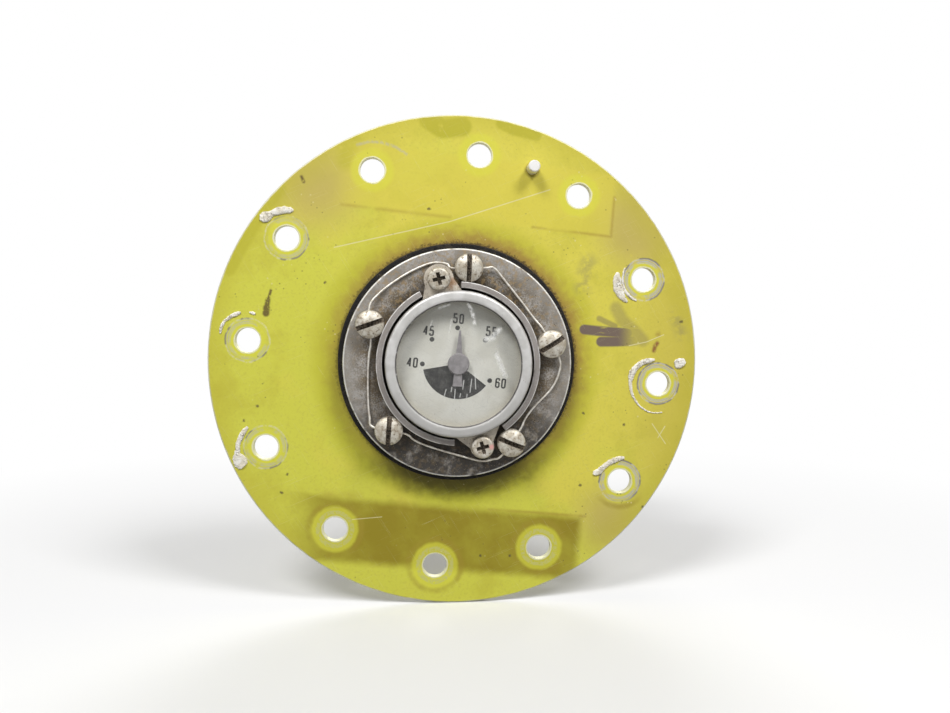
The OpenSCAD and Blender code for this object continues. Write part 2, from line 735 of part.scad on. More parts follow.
module column_screws() {
  slot = 0.6;
  color("silver") for (a = column_screw_turns)
    at_clock(a, column_screw_r) translate([0, 0, boss_z - column_flange_t]) difference() {
      union() {
        translate([0, 0, -column_head_h]) ring(column_head_d / 2, 0, column_head_h, edge);
        translate([0, 0, -overlap]) cylinder(d = column_screw_d, h = column_screw_l + overlap);
      }
      translate([-slot / 2, -column_head_d, -column_head_h - overlap])
        cube([slot, 2 * column_head_d, column_head_h / 2 + overlap]);
    }
}

module upper_bush() {
  color("peru") difference() {
    union() {
      translate([0, 0, boss_z - bush_l]) cylinder(r = column_bore / 2 - fit_gap, h = bush_l + overlap);
      translate([0, 0, boss_z]) cylinder(r = column_bore / 2 + bush_flange_w, h = bush_flange_t);
    }
    translate([0, 0, boss_z - bush_l - overlap])
      cylinder(r = shaft_d / 2 + run_gap, h = bush_l + bush_flange_t + 2 * overlap);
  }
}

module lower_bush() {
  color("peru") translate([0, 0, column_z]) tube(column_bore / 2 - fit_gap, shaft_d / 2 + run_gap, bush_l);
}

module magnet_carrier() {
  low = boss_z + bush_flange_t + end_play;
  color("tan") difference() {
    union() {
      translate([0, 0, low]) cylinder(d = carrier_d, h = magnet_z - low);
      translate([0, 0, magnet_low - carrier_flange_t])
        ring(carrier_d / 2 + carrier_flange_w, 0, carrier_flange_t, edge);
    }
    translate([0, 0, low - overlap]) cylinder(r = shaft_d / 2 + fit_gap, h = magnet_z - low + 2 * overlap);
  }
}

module drive_magnet() {
  color("darkslategray") translate([0, 0, magnet_low])
    tube(drive_magnet_d / 2, carrier_d / 2 + fit_gap, drive_magnet_t);
}

module drive_shaft() {
  low = pivot_z + pinion_in;
  color("silver") translate([0, 0, low]) ring(shaft_d / 2, 0, magnet_z - low, edge);
}

module drive_pinion() {
  root = cone_l * tan(pinion_cone) - dedendum;
  back = cone_l / cos(pinion_cone) - root * sin(pinion_cone);
  bore_r = shaft_d / 2 + fit_gap;
  top = column_z - end_play - pivot_z;
  color("goldenrod") translate([0, 0, pivot_z]) rotate([0, 0, -90])
    bevel_band(pinion_teeth, pinion_cone, 0, pinion_teeth,
      [[bore_r, back * face_share], [bore_r, top], [pinion_hub_r, top], [pinion_hub_r, back]], 0, true);
}

// Gear housing

// Lay a shape drawn about +Z along the pivot: its +Z points to -Y and its +X to the plate
module on_pivot() {
  translate([0, 0, pivot_z]) rotate([90, 0, 0]) rotate([0, 0, 90]) children();
}

module gear_housing() {
  color("cadetblue") difference() {
    union() {
      translate([0, 0, bridge_z]) cylinder(d = collar_d, h = collar_z - bridge_z);
      translate([-cheek_w / 2, -cheek_out, bridge_z]) cube([cheek_w, 2 * cheek_out, bridge_t]);
      for (y = [-cheek_out, cheek_gap / 2]) {
        translate([-cheek_w / 2, y, pivot_z]) cube([cheek_w, cheek_t, bridge_z - pivot_z + overlap]);
        translate([0, 0, pivot_z]) along_y(y, cheek_w / 2 + 2 * edge, cheek_t);
      }
    }
    translate([0, 0, column_z]) cylinder(r = column_d / 2 + fit_gap, h = collar_z - column_z + overlap);
    translate([0, 0, bridge_z - overlap]) cylinder(r = pinion_hub_r + 2 * end_play, h = bridge_t);
    translate([0, 0, pivot_z]) along_y(-2 * cheek_out, pivot_bush_r + fit_gap, 4 * cheek_out);
    housing_screw_places() translate([0, 0, -grub_d]) cylinder(r = grub_d / 2 + fit_gap, h = collar_d);
    stop_places() cylinder(r = stop_pin_d / 2 + fit_gap, h = 2 * cheek_t);
  }
}

// Two grub screws in the collar, pointing out from the column's surface
module housing_screw_places() {
  for (t = [0, 180])
    rotate([0, 0, t]) translate([column_d / 2 + fit_gap, 0, bridge_z + bridge_t + collar_h / 2])
      rotate([0, 90, 0]) children();
}

module housing_screws() {
  slot = 0.5;
  length = collar_d / 2 - column_d / 2;
  color("silver") housing_screw_places() difference() {
    cylinder(d = grub_d, h = length);
    translate([-grub_d, -slot / 2, length - 2 * slot]) cube([2 * grub_d, slot, 3 * slot]);
  }
}

module pivot_bushes() {
  color("peru") for (m = [0, 1])
    mirror([0, m, 0]) translate([0, 0, pivot_z]) difference() {
      union() {
        along_y(cheek_gap / 2, pivot_bush_r, cheek_t + overlap);
        along_y(cheek_out, pivot_bush_r + bush_lip_w, bush_lip_t);
      }
      along_y(cheek_gap / 2 - overlap, pivot_d / 2 + run_gap, 2 * cheek_t);
    }
}

// The sector's edges meet these pins just past the ends of its travel
module stop_places() {
  pin_half = asin(stop_pin_d / 2 / stop_r) + stop_spare;
  for (a = [sector_half + float_high + pin_half, -(sector_half - float_low + pin_half)])
    on_pivot() rotate([0, 0, a]) translate([stop_r, 0, cheek_gap / 2]) children();
}

module stop_pins() {
  reach = cheek_gap / 2 - (gear_back - web_t - overlap);
  color("silver") stop_places() translate([0, 0, -reach]) cylinder(d = stop_pin_d, h = reach + cheek_t);
}

// Float

module float_gear() {
  hub_low = pinion_pitch_r / 2;
  hub_high = cheek_gap / 2 - end_play;
  color("goldenrod") on_pivot() difference() {
    union() {
      bevel_band(gear_teeth, gear_cone, -sector_half + 180 / gear_teeth, sector_teeth,
        [[band_in, gear_back], [gear_pitch_r, gear_back]], sector_half, false);
      translate([0, 0, gear_back - web_t]) linear_extrude(web_t - overlap / 2) sector_web();
      translate([0, 0, hub_low]) cylinder(r = gear_hub_r, h = hub_high - hub_low);
    }
    translate([0, 0, -overlap]) cylinder(r = pivot_d / 2 + fit_gap, h = cheek_gap);
  }
}

// The flat web of the sector: a wedge that ends inside the toothed band
module sector_web() {
  reach = 2 * web_r;
  intersection() {
    circle(r = web_r);
    polygon([[0, 0], [reach * cos(sector_half), -reach * sin(sector_half)], [reach, 0],
      [reach * cos(sector_half), reach * sin(sector_half)]]);
  }
}

module pivot_shaft() {
  groove_y = clip_y - fit_gap;
  groove_w = clip_t + 2 * fit_gap;
  color("silver") translate([0, 0, pivot_z]) difference() {
    along_y(-pivot_end, pivot_d / 2, pivot_end + clamp_y + clamp_w);
    translate([0, groove_y, 0]) rotate([-90, 0, 0]) tube(pivot_d, pivot_d / 2 - clip_groove, groove_w);
  }
}

module pivot_clip() {
  mouth = pivot_d - 2 * clip_groove - 4 * fit_gap;
  color("silver") translate([0, clip_y, pivot_z]) rotate([-90, 0, 0]) difference() {
    tube(pivot_d / 2 + clip_w, pivot_d / 2 - clip_groove + fit_gap, clip_t);
    translate([0, -mouth / 2, -overlap]) cube([pivot_d + clip_w, mouth, clip_t + 2 * overlap]);
  }
}

module arm_clamp() {
  color("steelblue") translate([0, 0, pivot_z]) difference() {
    union() {
      along_y(clamp_y, clamp_r, clamp_w);
      translate([-clamp_half, clamp_y, -clamp_low]) cube([2 * clamp_half, clamp_w, clamp_low + 2 * edge]);
    }
    along_y(clamp_y - overlap, pivot_d / 2 + fit_gap, clamp_w + 2 * overlap);
    translate([-2 * clamp_half, arm_y, -arm_drop]) rotate([0, 90, 0])
      cylinder(r = arm_d / 2 + fit_gap, h = 4 * clamp_half);
    translate([0, arm_y, -2 * clamp_low])
      cylinder(r = clamp_screw_d / 2 + fit_gap, h = 2 * clamp_low - arm_drop);
  }
}

module clamp_screw() {
  length = clamp_low - arm_drop - arm_d / 2 - fit_gap;
  slot = 0.7;
  color("silver") translate([0, arm_y, pivot_z - clamp_low]) difference() {
    union() {
      translate([0, 0, -clamp_head_h]) ring(clamp_head_d / 2, 0, clamp_head_h, edge);
      translate([0, 0, -overlap]) cylinder(d = clamp_screw_d, h = length + overlap);
    }
    translate([-slot / 2, -clamp_head_d, -clamp_head_h - overlap])
      cube([slot, 2 * clamp_head_d, clamp_head_h / 2 + overlap]);
  }
}

module float_arm() {
  color("gainsboro") wire(rounded(arm_route, arm_bend, arm_z), arm_d / 2, false);
}

// Lay a piece drawn about +Z along the float's axis
module on_float() {
  translate([arm_reach, 0, arm_z]) rotate([-90, 0, 0]) children();
}

module float() {
  color("saddlebrown") on_float() translate([0, 0, -float_l / 2]) difference() {
    ring(float_d / 2, 0, float_l, float_edge);
    translate([0, 0, -overlap]) cylinder(r = arm_d / 2 + run_gap, h = float_l + 2 * overlap);
  }
}

module float_retainers() {
  color("silver") on_float() for (m = [0, 1])
    mirror([0, 0, m]) translate([0, 0, float_l / 2 + retainer_gap])
      tube(arm_d / 2 + retainer_w, arm_d / 2 + fit_gap, retainer_t);
}

// Stand the gauge up, dial forward
module stand() {
  rotate([90, 0, 0]) children();
}

stand() cover_plate();
stand() index_pin();
stand() backing_ring();
stand() flange_gasket();
stand() gauge_head();
stand() flange_screws();
stand() lock_wire();
stand() dial_case();
stand() bezel_ring();
stand() lens();
stand() lens_seal();
stand() dial_plate();
stand() dial_screws();
stand() dial_bush();
stand() jewel_bearing();
stand() pointer();
stand() pointer_hub();
stand() pointer_staff();
stand() pointer_magnet();
stand() support_column();
stand() column_screws();
stand() upper_bush();
stand() lower_bush();
stand() magnet_carrier();
stand() drive_magnet();
stand() drive_shaft();
stand() drive_pinion();
stand() gear_housing();
stand() housing_screws();
stand() pivot_bushes();
stand() stop_pins();
stand() pivot_shaft();
stand() pivot_clip();
stand() float_gear();
stand() arm_clamp();
stand() clamp_screw();
stand() float_arm();
stand() float();
stand() float_retainers();
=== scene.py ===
# %% [markdown]
# A tank fuel gauge, dressed
# The solid parts of this gauge come from a drawing in millimetres. Here they get the look of a used one:
# old yellow primer, a grey casting, plated screws, lock wire and a scuffed plastic window. Every mesh and
# finish is made below from a few sizes, so a change in one place shows everywhere it should.

import functools
import json
import math
import random

import bmesh
import bpy
from mathutils import Matrix, Vector


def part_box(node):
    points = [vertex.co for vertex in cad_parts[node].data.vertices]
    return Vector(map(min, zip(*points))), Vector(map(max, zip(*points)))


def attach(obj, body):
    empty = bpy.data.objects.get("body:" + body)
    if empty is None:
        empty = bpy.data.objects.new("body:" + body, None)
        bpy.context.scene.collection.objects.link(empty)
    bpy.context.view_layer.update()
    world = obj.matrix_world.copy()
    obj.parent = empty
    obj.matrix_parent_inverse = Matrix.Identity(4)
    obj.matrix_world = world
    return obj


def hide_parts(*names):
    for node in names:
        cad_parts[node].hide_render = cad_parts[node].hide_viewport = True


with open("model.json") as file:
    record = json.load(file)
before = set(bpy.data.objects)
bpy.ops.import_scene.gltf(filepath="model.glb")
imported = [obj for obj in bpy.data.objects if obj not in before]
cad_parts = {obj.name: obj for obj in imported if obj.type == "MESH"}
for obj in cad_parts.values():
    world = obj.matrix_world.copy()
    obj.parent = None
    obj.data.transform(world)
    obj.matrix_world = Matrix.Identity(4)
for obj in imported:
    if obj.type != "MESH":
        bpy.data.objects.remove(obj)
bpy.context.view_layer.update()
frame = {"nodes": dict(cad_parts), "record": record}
solids = frame["nodes"]
MM = 0.001
print("solid parts:", len(solids))

# %% [markdown]
# Sums on a surface
# A finish is a sum over the surface: dirt where it is low, bare metal where it rubs. Drawing such sums as
# wires between boxes is slow to read, so a signal stands for one value here, and the usual signs add,
# subtract, multiply and divide it. One method adds any other kind of node.


# %% Signals
def connect(tree, value, socket):
    """Link a signal to a socket, or set the socket to a plain value."""
    if isinstance(value, Signal):
        tree.links.new(value.socket, socket)
    elif isinstance(value, tuple) and socket.type == "RGBA":
        socket.default_value = (*value, 1)
    else:
        socket.default_value = value


class Signal:
    """A number, colour or direction that varies over a surface."""

    def __init__(self, tree, socket):
        self.tree = tree
        self.socket = socket

    def add(self, kind, settings, inputs, out=0):
        """Add a node of any kind: its settings first, then the value or link of each socket."""
        node = self.tree.nodes.new(kind)
        for name, value in settings.items():
            setattr(node, name, value)
        for key, value in inputs.items():
            connect(self.tree, value, node.inputs[key])
        return Signal(self.tree, node.outputs[out])

    def maths(self, operation, *others):
        """A Math node on this signal and any others."""
        return self.add("ShaderNodeMath", {"operation": operation}, dict(enumerate((self, *others))))

    def __add__(self, other):
        return self.maths("ADD", other)

    def __radd__(self, other):
        return self.maths("ADD", other)

    def __sub__(self, other):
        return self.maths("SUBTRACT", other)

    def __rsub__(self, other):
        return self.maths("MULTIPLY_ADD", -1, other)

    def __mul__(self, other):
        return self.maths("MULTIPLY", other)

    def __rmul__(self, other):
        return self.maths("MULTIPLY", other)

    def __truediv__(self, other):
        return self.maths("DIVIDE", other)

    def __rtruediv__(self, other):
        return self.maths("POWER", -1) * other

    def __pow__(self, other):
        return self.maths("POWER", other)

    def __abs__(self):
        return self.maths("ABSOLUTE")

    def least(self, other):
        return self.maths("MINIMUM", other)

    def most(self, other):
        return self.maths("MAXIMUM", other)

    def ramp(self, start, stop):
        """0 at start and 1 at stop, smooth between them and flat outside."""
        return self.add("ShaderNodeMapRange", {"interpolation_type": "SMOOTHSTEP"},
                        {"Value": self, "From Min": start, "From Max": stop})

    def tint(self, without, full):
        """A colour between two colours, by this signal."""
        return self.add("ShaderNodeMix", {"data_type": "RGBA"}, {0: self, 6: without, 7: full}, 2)


print("signals ready")

# %% [markdown]
# Finishes and their places
# A finish needs to know where on the part it is. The place comes from the part's own axes, in millimetres, so
# a pattern travels with a part that turns, and a speck is as large on the plate as on a screw.


# %% Finishes
def new_finish(name):
    """A material and the place on the part in millimetres."""
    material = bpy.data.materials.new(name)
    material.use_nodes = True
    tree = material.node_tree
    own = Signal(tree, tree.nodes.new("ShaderNodeTexCoord").outputs["Object"])
    place = own.add("ShaderNodeVectorMath", {"operation": "SCALE"}, {0: own, "Scale": 1 / MM})
    return material, place


def lay(material, place, height=None, **sockets):
    """Put colours and other values on the material's surface; height is in millimetres."""
    shader = material.node_tree.nodes["Principled BSDF"]
    for name, value in sockets.items():
        connect(material.node_tree, value, shader.inputs[name.replace("_", " ")])
    if height is not None:
        bump = place.add("ShaderNodeBump", {}, {"Height": height, "Distance": MM})
        connect(material.node_tree, bump, shader.inputs["Normal"])
    return material


def axes(place):
    """The place's right, back and up signals."""
    split = place.add("ShaderNodeSeparateXYZ", {}, {0: place})
    return [Signal(place.tree, socket) for socket in split.socket.node.outputs]


def off_axis(right, up):
    """Distance from the dial's axis."""
    return (right ** 2 + up ** 2) ** 0.5


print("finishes ready")

# %% [markdown]
# Patterns
# Dirt gathers in clouds, specks and scratches. A painted picture of them would blur from close by, so each is
# a noise that the renderer works out, with its size given in millimetres.


# %% Patterns
def cloud(place, size, detail=3.0, rough=0.5):
    """A cloudy pattern around one half, with lumps of a size."""
    return place.add("ShaderNodeTexNoise", {},
                     {"Vector": place, "Scale": 1 / size, "Detail": detail, "Roughness": rough})


def grooves(distance, width):
    """Bands about a width apart along a distance, for turned or scraped rings."""
    return distance.add("ShaderNodeTexNoise", {"noise_dimensions": "1D"},
                        {"W": distance, "Scale": 1 / width, "Detail": 2.0})


def cells(place, size):
    """Distance to the nearest of many scattered points, as a share of their spacing."""
    return place.add("ShaderNodeTexVoronoi", {}, {"Vector": place, "Scale": 1 / size})


def stretched(place, x, y, z):
    """The place with each axis divided by a length, for patterns that run one way."""
    return place.add("ShaderNodeVectorMath", {"operation": "MULTIPLY"}, {0: place, 1: (1 / x, 1 / y, 1 / z)})


def turned(place, degrees):
    """The place turned clockwise about the dial's axis."""
    return place.add("ShaderNodeVectorRotate", {"rotation_type": "Y_AXIS"},
                     {"Vector": place, "Angle": math.radians(degrees)})


def scratches(place, degrees, length, width, share):
    """Fine lines at one angle across the front, of which a share shows."""
    lines = cloud(stretched(turned(place, degrees), length, length, width), 1.0, 2.0)
    return lines.ramp(0.72 - 0.12 * share, 0.76 - 0.12 * share)


def specks(place, size, share):
    """Small dots, thinned out to a share by a wider cloud."""
    thinned = cloud(place, 4 * size).ramp(0.66 - 0.3 * share, 0.72 - 0.3 * share)
    return cells(place, size).ramp(0.2, 0.1) * thinned


print("patterns ready")

# %% [markdown]
# Marks with a place
# Some marks have one place, such as a dab of ink. A mark is a distance to a point or a line, cut off softly,
# so it stays sharp at any size of picture and needs no painted image. Coats of colour then go on in order, as
# dirt does, each where its mark is.


# %% Marks
def spot(face, centre, radius, soft):
    """A round mark on the front; the face is the place's right and up signals."""
    right, up = face
    away = off_axis(right - centre[0], up - centre[1])
    return away.ramp(radius + soft, radius - soft)


def line(face, start, stop, half, soft):
    """A straight mark on the front from one place to another."""
    run = (stop[0] - start[0], stop[1] - start[1])
    squared = run[0] ** 2 + run[1] ** 2
    right = face[0] - start[0]
    up = face[1] - start[1]
    share = (right * (run[0] / squared) + up * (run[1] / squared)).most(0).least(1)
    away = off_axis(right - share * run[0], up - share * run[1])
    return away.ramp(half + soft, half - soft)


def together(marks):
    """One mark out of several."""
    return functools.reduce(Signal.most, marks)


def trails(face, *routes):
    """One mark along several routes, each with its places, half width, softness and strength."""
    marks = []
    for places, half, soft, strength in routes:
        lines = [line(face, a, b, half, soft) for a, b in zip(places, places[1:])]
        marks.append(together(lines) * strength)
    return together(marks)


def coats(paint, *layers):
    """Paint with layers over it, each with its mask, colour and strength."""
    for mask, colour, strength in layers:
        paint = (mask * strength).tint(paint, colour)
    return paint


print("marks ready")

# %% [markdown]
# Outlines
# A turned or cast piece starts as an outline of a few corners, each rounded by its own radius, as on a
# drawing. Heights are measured out of the plate's rear face, and angles go round as on a clock, so each
# number can be checked on the real gauge.


# %% Outlines
def clock(turn, r):
    """Right and up of a place at a clock angle in degrees and a radius."""
    return r * math.sin(math.radians(turn)), r * math.cos(math.radians(turn))


def row(right, up, height):
    """A point of the part in metres from millimetres right, up and out of the plate."""
    return Vector((right, -height, up)) * MM


def soften(corners, radius, steps=4):
    """An outline with its corners rounded; radius is one value, or one for each corner."""
    radii = radius if isinstance(radius, list) else [radius] * len(corners)
    points = []
    for i, corner in enumerate(corners):
        p = Vector(corner)
        before = Vector(corners[i - 1]) - p
        after = Vector(corners[(i + 1) % len(corners)]) - p
        back = min(radii[i], 0.48 * before.length, 0.48 * after.length)
        if back == 0:
            points.append(p)
            continue
        a = p + before.normalized() * back
        b = p + after.normalized() * back
        for k in range(steps + 1):
            t = k / steps
            points.append((1 - t) ** 2 * a + 2 * t * (1 - t) * p + t ** 2 * b)
    return points


print("outlines ready")

# %% [markdown]
# Turned shapes
# Most of the gauge is turned on a lathe, so one maker covers it: it spins an outline about the dial's axis, a
# whole turn or a part of one. Blender's Spin tool would do it too, but rings of points join into even faces
# with no selecting, and the same rings serve for strips that aren't round.


# %% Lathe
def settle(shape):
    """A finished mesh from a working one."""
    mesh = bpy.data.meshes.new("mesh")
    shape.to_mesh(mesh)
    shape.free()
    return mesh


def hull(rings, whole):
    """A mesh over rings of points, one after another; a part of a turn gets two end faces."""
    shape = bmesh.new()
    rings = [[shape.verts.new(p) for p in ring] for ring in rings]
    for a, b in zip(rings, rings[1:] + (rings[:1] if whole else [])):
        for j in range(len(a)):
            k = (j + 1) % len(a)
            shape.faces.new((a[j], a[k], b[k], b[j]))
    if not whole:
        shape.faces.new(rings[0])
        shape.faces.new(list(reversed(rings[-1])))
    bmesh.ops.remove_doubles(shape, verts=shape.verts, dist=1e-7)
    bmesh.ops.dissolve_degenerate(shape, edges=shape.edges, dist=1e-8)
    bmesh.ops.recalc_face_normals(shape, faces=shape.faces)
    return settle(shape)


def lathe(outline, start=0, stop=360, steps=160, centre=(0, 0)):
    """A mesh spun from a closed outline of radii and heights, whole or over part of a turn."""
    whole = stop - start == 360
    rings = []
    for i in range(steps if whole else steps + 1):
        ring = []
        for r, height in outline:
            right, up = clock(start + (stop - start) * i / steps, r)
            ring.append(row(centre[0] + right, centre[1] + up, height))
        rings.append(ring)
    return hull(rings, whole)


print("lathe ready")

# %% [markdown]
# Blocks
# Slots are sawn and crosses punched, so both need a tool: a plain block, turned to its angle and, for a
# punch, narrower at its inner end. Blanks of one kind join into one mesh, because they are one piece here.


# %% Blocks
def block(size, centre, turn, height, taper=1.0):
    """A box on the front, turned to a clock angle; taper narrows its inner end."""
    shape = bmesh.new()
    bmesh.ops.create_cube(shape, size=1.0)
    for v in shape.verts:
        side = taper if v.co.y > 0 else 1.0
        v.co = Vector((v.co.x * size[0] * side, v.co.y * size[2], v.co.z * size[1] * side)) * MM
    turn_matrix = Matrix.Rotation(math.radians(turn), 4, "Y")
    shape.transform(Matrix.Translation(row(centre[0], centre[1], height)) @ turn_matrix)
    return settle(shape)


def join(meshes):
    """One mesh from several."""
    shape = bmesh.new()
    for mesh in meshes:
        shape.from_mesh(mesh)
        bpy.data.meshes.remove(mesh)
    return settle(shape)


print("blocks ready")

# %% [markdown]
# Wire
# The lock wire and the float's rod are round all along. Such a piece is a curve with a round section, turned
# into a mesh at once, so that every piece ends up as the same kind of thing.


# %% Wire
def baked(thing):
    """A mesh of an object as its modifiers leave it."""
    graph = bpy.context.evaluated_depsgraph_get()
    return bpy.data.meshes.new_from_object(thing.evaluated_get(graph))


def wire(path, radius, closed):
    """A mesh of round wire along a path of points in metres."""
    curve = bpy.data.curves.new("wire", "CURVE")
    curve.dimensions = "3D"
    curve.bevel_depth = radius * MM
    curve.bevel_resolution = 4
    curve.use_fill_caps = True
    spline = curve.splines.new("POLY")
    spline.points.add(len(path) - 1)
    for point, p in zip(spline.points, path):
        point.co = (*p, 1)
    spline.use_cyclic_u = closed
    holder = bpy.data.objects.new("wire", curve)
    bpy.context.collection.objects.link(holder)
    mesh = baked(holder)
    bpy.data.objects.remove(holder)
    return mesh


print("wire ready")

# %% [markdown]
# Pieces on the frame
# A new piece rides on one of the gauge's bodies, so it moves as that does. Most new pieces stand for a solid
# part, which is then hidden, and take their main sizes from it, so the two agree.


# %% Pieces
def reach(node):
    """A part's reach to the right, and its rear and front heights out of the plate, in millimetres."""
    low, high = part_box(node)
    return [round(length / MM, 2) for length in (high.x, -high.y, -low.y)]


def piece(name, mesh, material, body, stands_for=None, sharp=38):
    """A shown piece of the gauge that rides on one of its bodies."""
    mesh.name = name
    if not mesh.materials:
        mesh.materials.append(material)
    mesh.shade_smooth()
    mesh.set_sharp_from_angle(angle=math.radians(sharp))
    thing = bpy.data.objects.new(name, mesh)
    bpy.context.collection.objects.link(thing)
    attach(thing, body)
    if stands_for:
        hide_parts(stands_for)
    return thing


print("piece maker ready")

# %% [markdown]
# Cuts and edges
# A Boolean cut takes a tool's shape out of a piece and gives the new faces their own finish. No real edge is
# a knife, so a bevel breaks the sharp ones. A solid part whose shape is right stays, and only gets a finish
# and such edges.


# %% Cuts and edges
def carve(thing, cutter, inside):
    """Cut a mesh out of a piece; the new faces take the material given."""
    cutter.materials.append(inside)
    tool = bpy.data.objects.new("tool", cutter)
    bpy.context.collection.objects.link(tool)
    cut = thing.modifiers.new("cut", "BOOLEAN")
    cut.operation = "DIFFERENCE"
    cut.solver = "EXACT"
    cut.material_mode = "TRANSFER"
    cut.object = tool
    mesh = baked(thing)
    thing.modifiers.clear()
    thing.data = mesh
    bpy.data.objects.remove(tool)


def round_edges(thing, width):
    """Break the sharp edges of a piece by a small rounding, in millimetres."""
    weld = thing.modifiers.new("weld", "WELD")
    weld.merge_threshold = 1e-6
    bevel = thing.modifiers.new("edges", "BEVEL")
    bevel.width = width * MM
    bevel.segments = 2
    bevel.limit_method = "ANGLE"
    bevel.angle_limit = math.radians(40)
    bevel.harden_normals = True


def dress(node, material, slot, width=0.0):
    """Give a solid part its finish, and rounded edges where a width is given."""
    thing = solids[node]
    thing.data.materials.clear()
    thing.data.materials.append(material)
    if width:
        round_edges(thing, width)


print("cuts and edges ready")

# %% [markdown]
# The view
# The gauge stands on the lower edge of its plate and is seen from just left of the dial and a little above
# it. A camera this close spreads the plate slightly towards the lens, as in a photograph of a small thing.
# The eye's place is in metres from the plate's centre, and so are the lamps' places below.

# %% Camera
EYE = (-0.01145, -0.2283, 0.0130)
LOOK = (0.0735, 0.9960, -0.0499)
FOCAL_LENGTH = 29.56
SENSOR_WIDTH = 36
camera = bpy.data.objects.new("camera", bpy.data.cameras.new("camera"))
camera.data.lens = FOCAL_LENGTH
camera.data.sensor_width = SENSOR_WIDTH
camera.data.clip_start = 0.01
camera.location = EYE
camera.rotation_euler = Vector(LOOK).to_track_quat("-Z", "Y").to_euler()
bpy.context.collection.objects.link(camera)
bpy.context.scene.camera = camera
bpy.context.scene.view_settings.view_transform = "Standard"
print("camera", round(camera.location.length, 3), "m from the plate's centre")

# %% [markdown]
# The light
# Two soft lamps hang above the gauge, left and right, so the index pin throws two faint shadows down the
# plate. A third lights the drive from behind. The room is white to the eye and in mirrors but gives little
# light, because a bright room would wash the shadows out.


# %% Lamps and room
def lamp(name, place, size, watts):
    """A square lamp aimed at the dial."""
    light = bpy.data.lights.new(name, "AREA")
    light.size = size
    light.energy = watts
    thing = bpy.data.objects.new(name, light)
    thing.location = place
    thing.rotation_euler = (-Vector(place)).to_track_quat("-Z", "Y").to_euler()
    bpy.context.collection.objects.link(thing)


def seen_directly(tree):
    """1 for a ray that comes straight from the eye, or by a mirror or glass."""
    rays = tree.nodes.new("ShaderNodeLightPath").outputs
    eye = Signal(tree, rays["Is Camera Ray"])
    return eye.most(Signal(tree, rays["Is Glossy Ray"])).most(Signal(tree, rays["Is Transmission Ray"]))


lamp("lamp_left", place=(-0.34, -0.53, 0.70), size=0.3, watts=5.6)
lamp("lamp_right", place=(0.40, -0.50, 0.68), size=0.3, watts=5.0)
lamp("lamp_behind", place=(0.1, 0.7, 0.5), size=0.5, watts=3.6)
room = bpy.data.worlds.new("room")
room.use_nodes = True
bpy.context.scene.world = room
room_colour = seen_directly(room.node_tree).tint((0.12, 0.12, 0.12), (1.0, 1.0, 1.0))
connect(room.node_tree, room_colour, room.node_tree.nodes["Background"].inputs["Color"])
print("lamps and room set")

# %% [markdown]
# The floor
# The gauge stands on a pale floor that keeps its shadow. Such a floor would light the plate from below, so
# the light that it throws back is held down: only the eye and mirrors see how pale it is.

# %% Floor
PLATE_R, _, PLATE_T = reach("cover_plate")
FLOOR_HALF = 2
floor_corners = [(x * FLOOR_HALF, y * FLOOR_HALF, 0) for x, y in ((-1, -1), (1, -1), (1, 1), (-1, 1))]
floor_mesh = bpy.data.meshes.new("floor")
floor_mesh.from_pydata(floor_corners, [], [(0, 1, 2, 3)])
floor = bpy.data.objects.new("floor", floor_mesh)
floor.location = row(0, -PLATE_R, 0)
bpy.context.collection.objects.link(floor)
floor_paint, place = new_finish("floor")
seen = seen_directly(floor_paint.node_tree)
lay(floor_paint, place, Base_Color=seen.tint((0.3, 0.3, 0.3), (0.8, 0.8, 0.8)), Roughness=0.9)
floor_mesh.materials.append(floor_paint)
print("floor", PLATE_R, "mm below the dial's axis")

# %% [markdown]
# The floor's end
# A floor's far edge would draw a line across the picture. Away from the gauge its paint gives way to plain
# white light, which meets the white room without a seam. A mix of two shaders does that.

# %% Floor's end
FADE_START = 90
FADE_STOP = 320


def mixed_surface(material, factor, first=None, second=None):
    """Show a mix of two shaders; the one left out is the material's own."""
    nodes = material.node_tree.nodes
    own = Signal(material.node_tree, nodes["Principled BSDF"].outputs[0])
    mixed = own.add("ShaderNodeMixShader", {}, {0: factor, 1: first or own, 2: second or own})
    connect(material.node_tree, mixed, nodes["Material Output"].inputs["Surface"])


from_middle = place.add("ShaderNodeVectorMath", {"operation": "LENGTH"}, {0: place}, "Value")
white = place.add("ShaderNodeEmission", {}, {"Color": (1.0, 1.0, 1.0)})
mixed_surface(floor_paint, seen * from_middle.ramp(FADE_START, FADE_STOP), second=white)
print("floor fades out by", FADE_STOP, "mm")

# %% [markdown]
# The primed plate
# The cover is a rolled sheet in yellow chromate primer. Its paint is built in layers, as the years laid them.
# The first are the primer, which leans to lemon or to yellow, a film of grime, tan where it faded and olive
# where fuel ran. The rear face, which the tank wets, has amber stains and a pale ring where the seal sat.

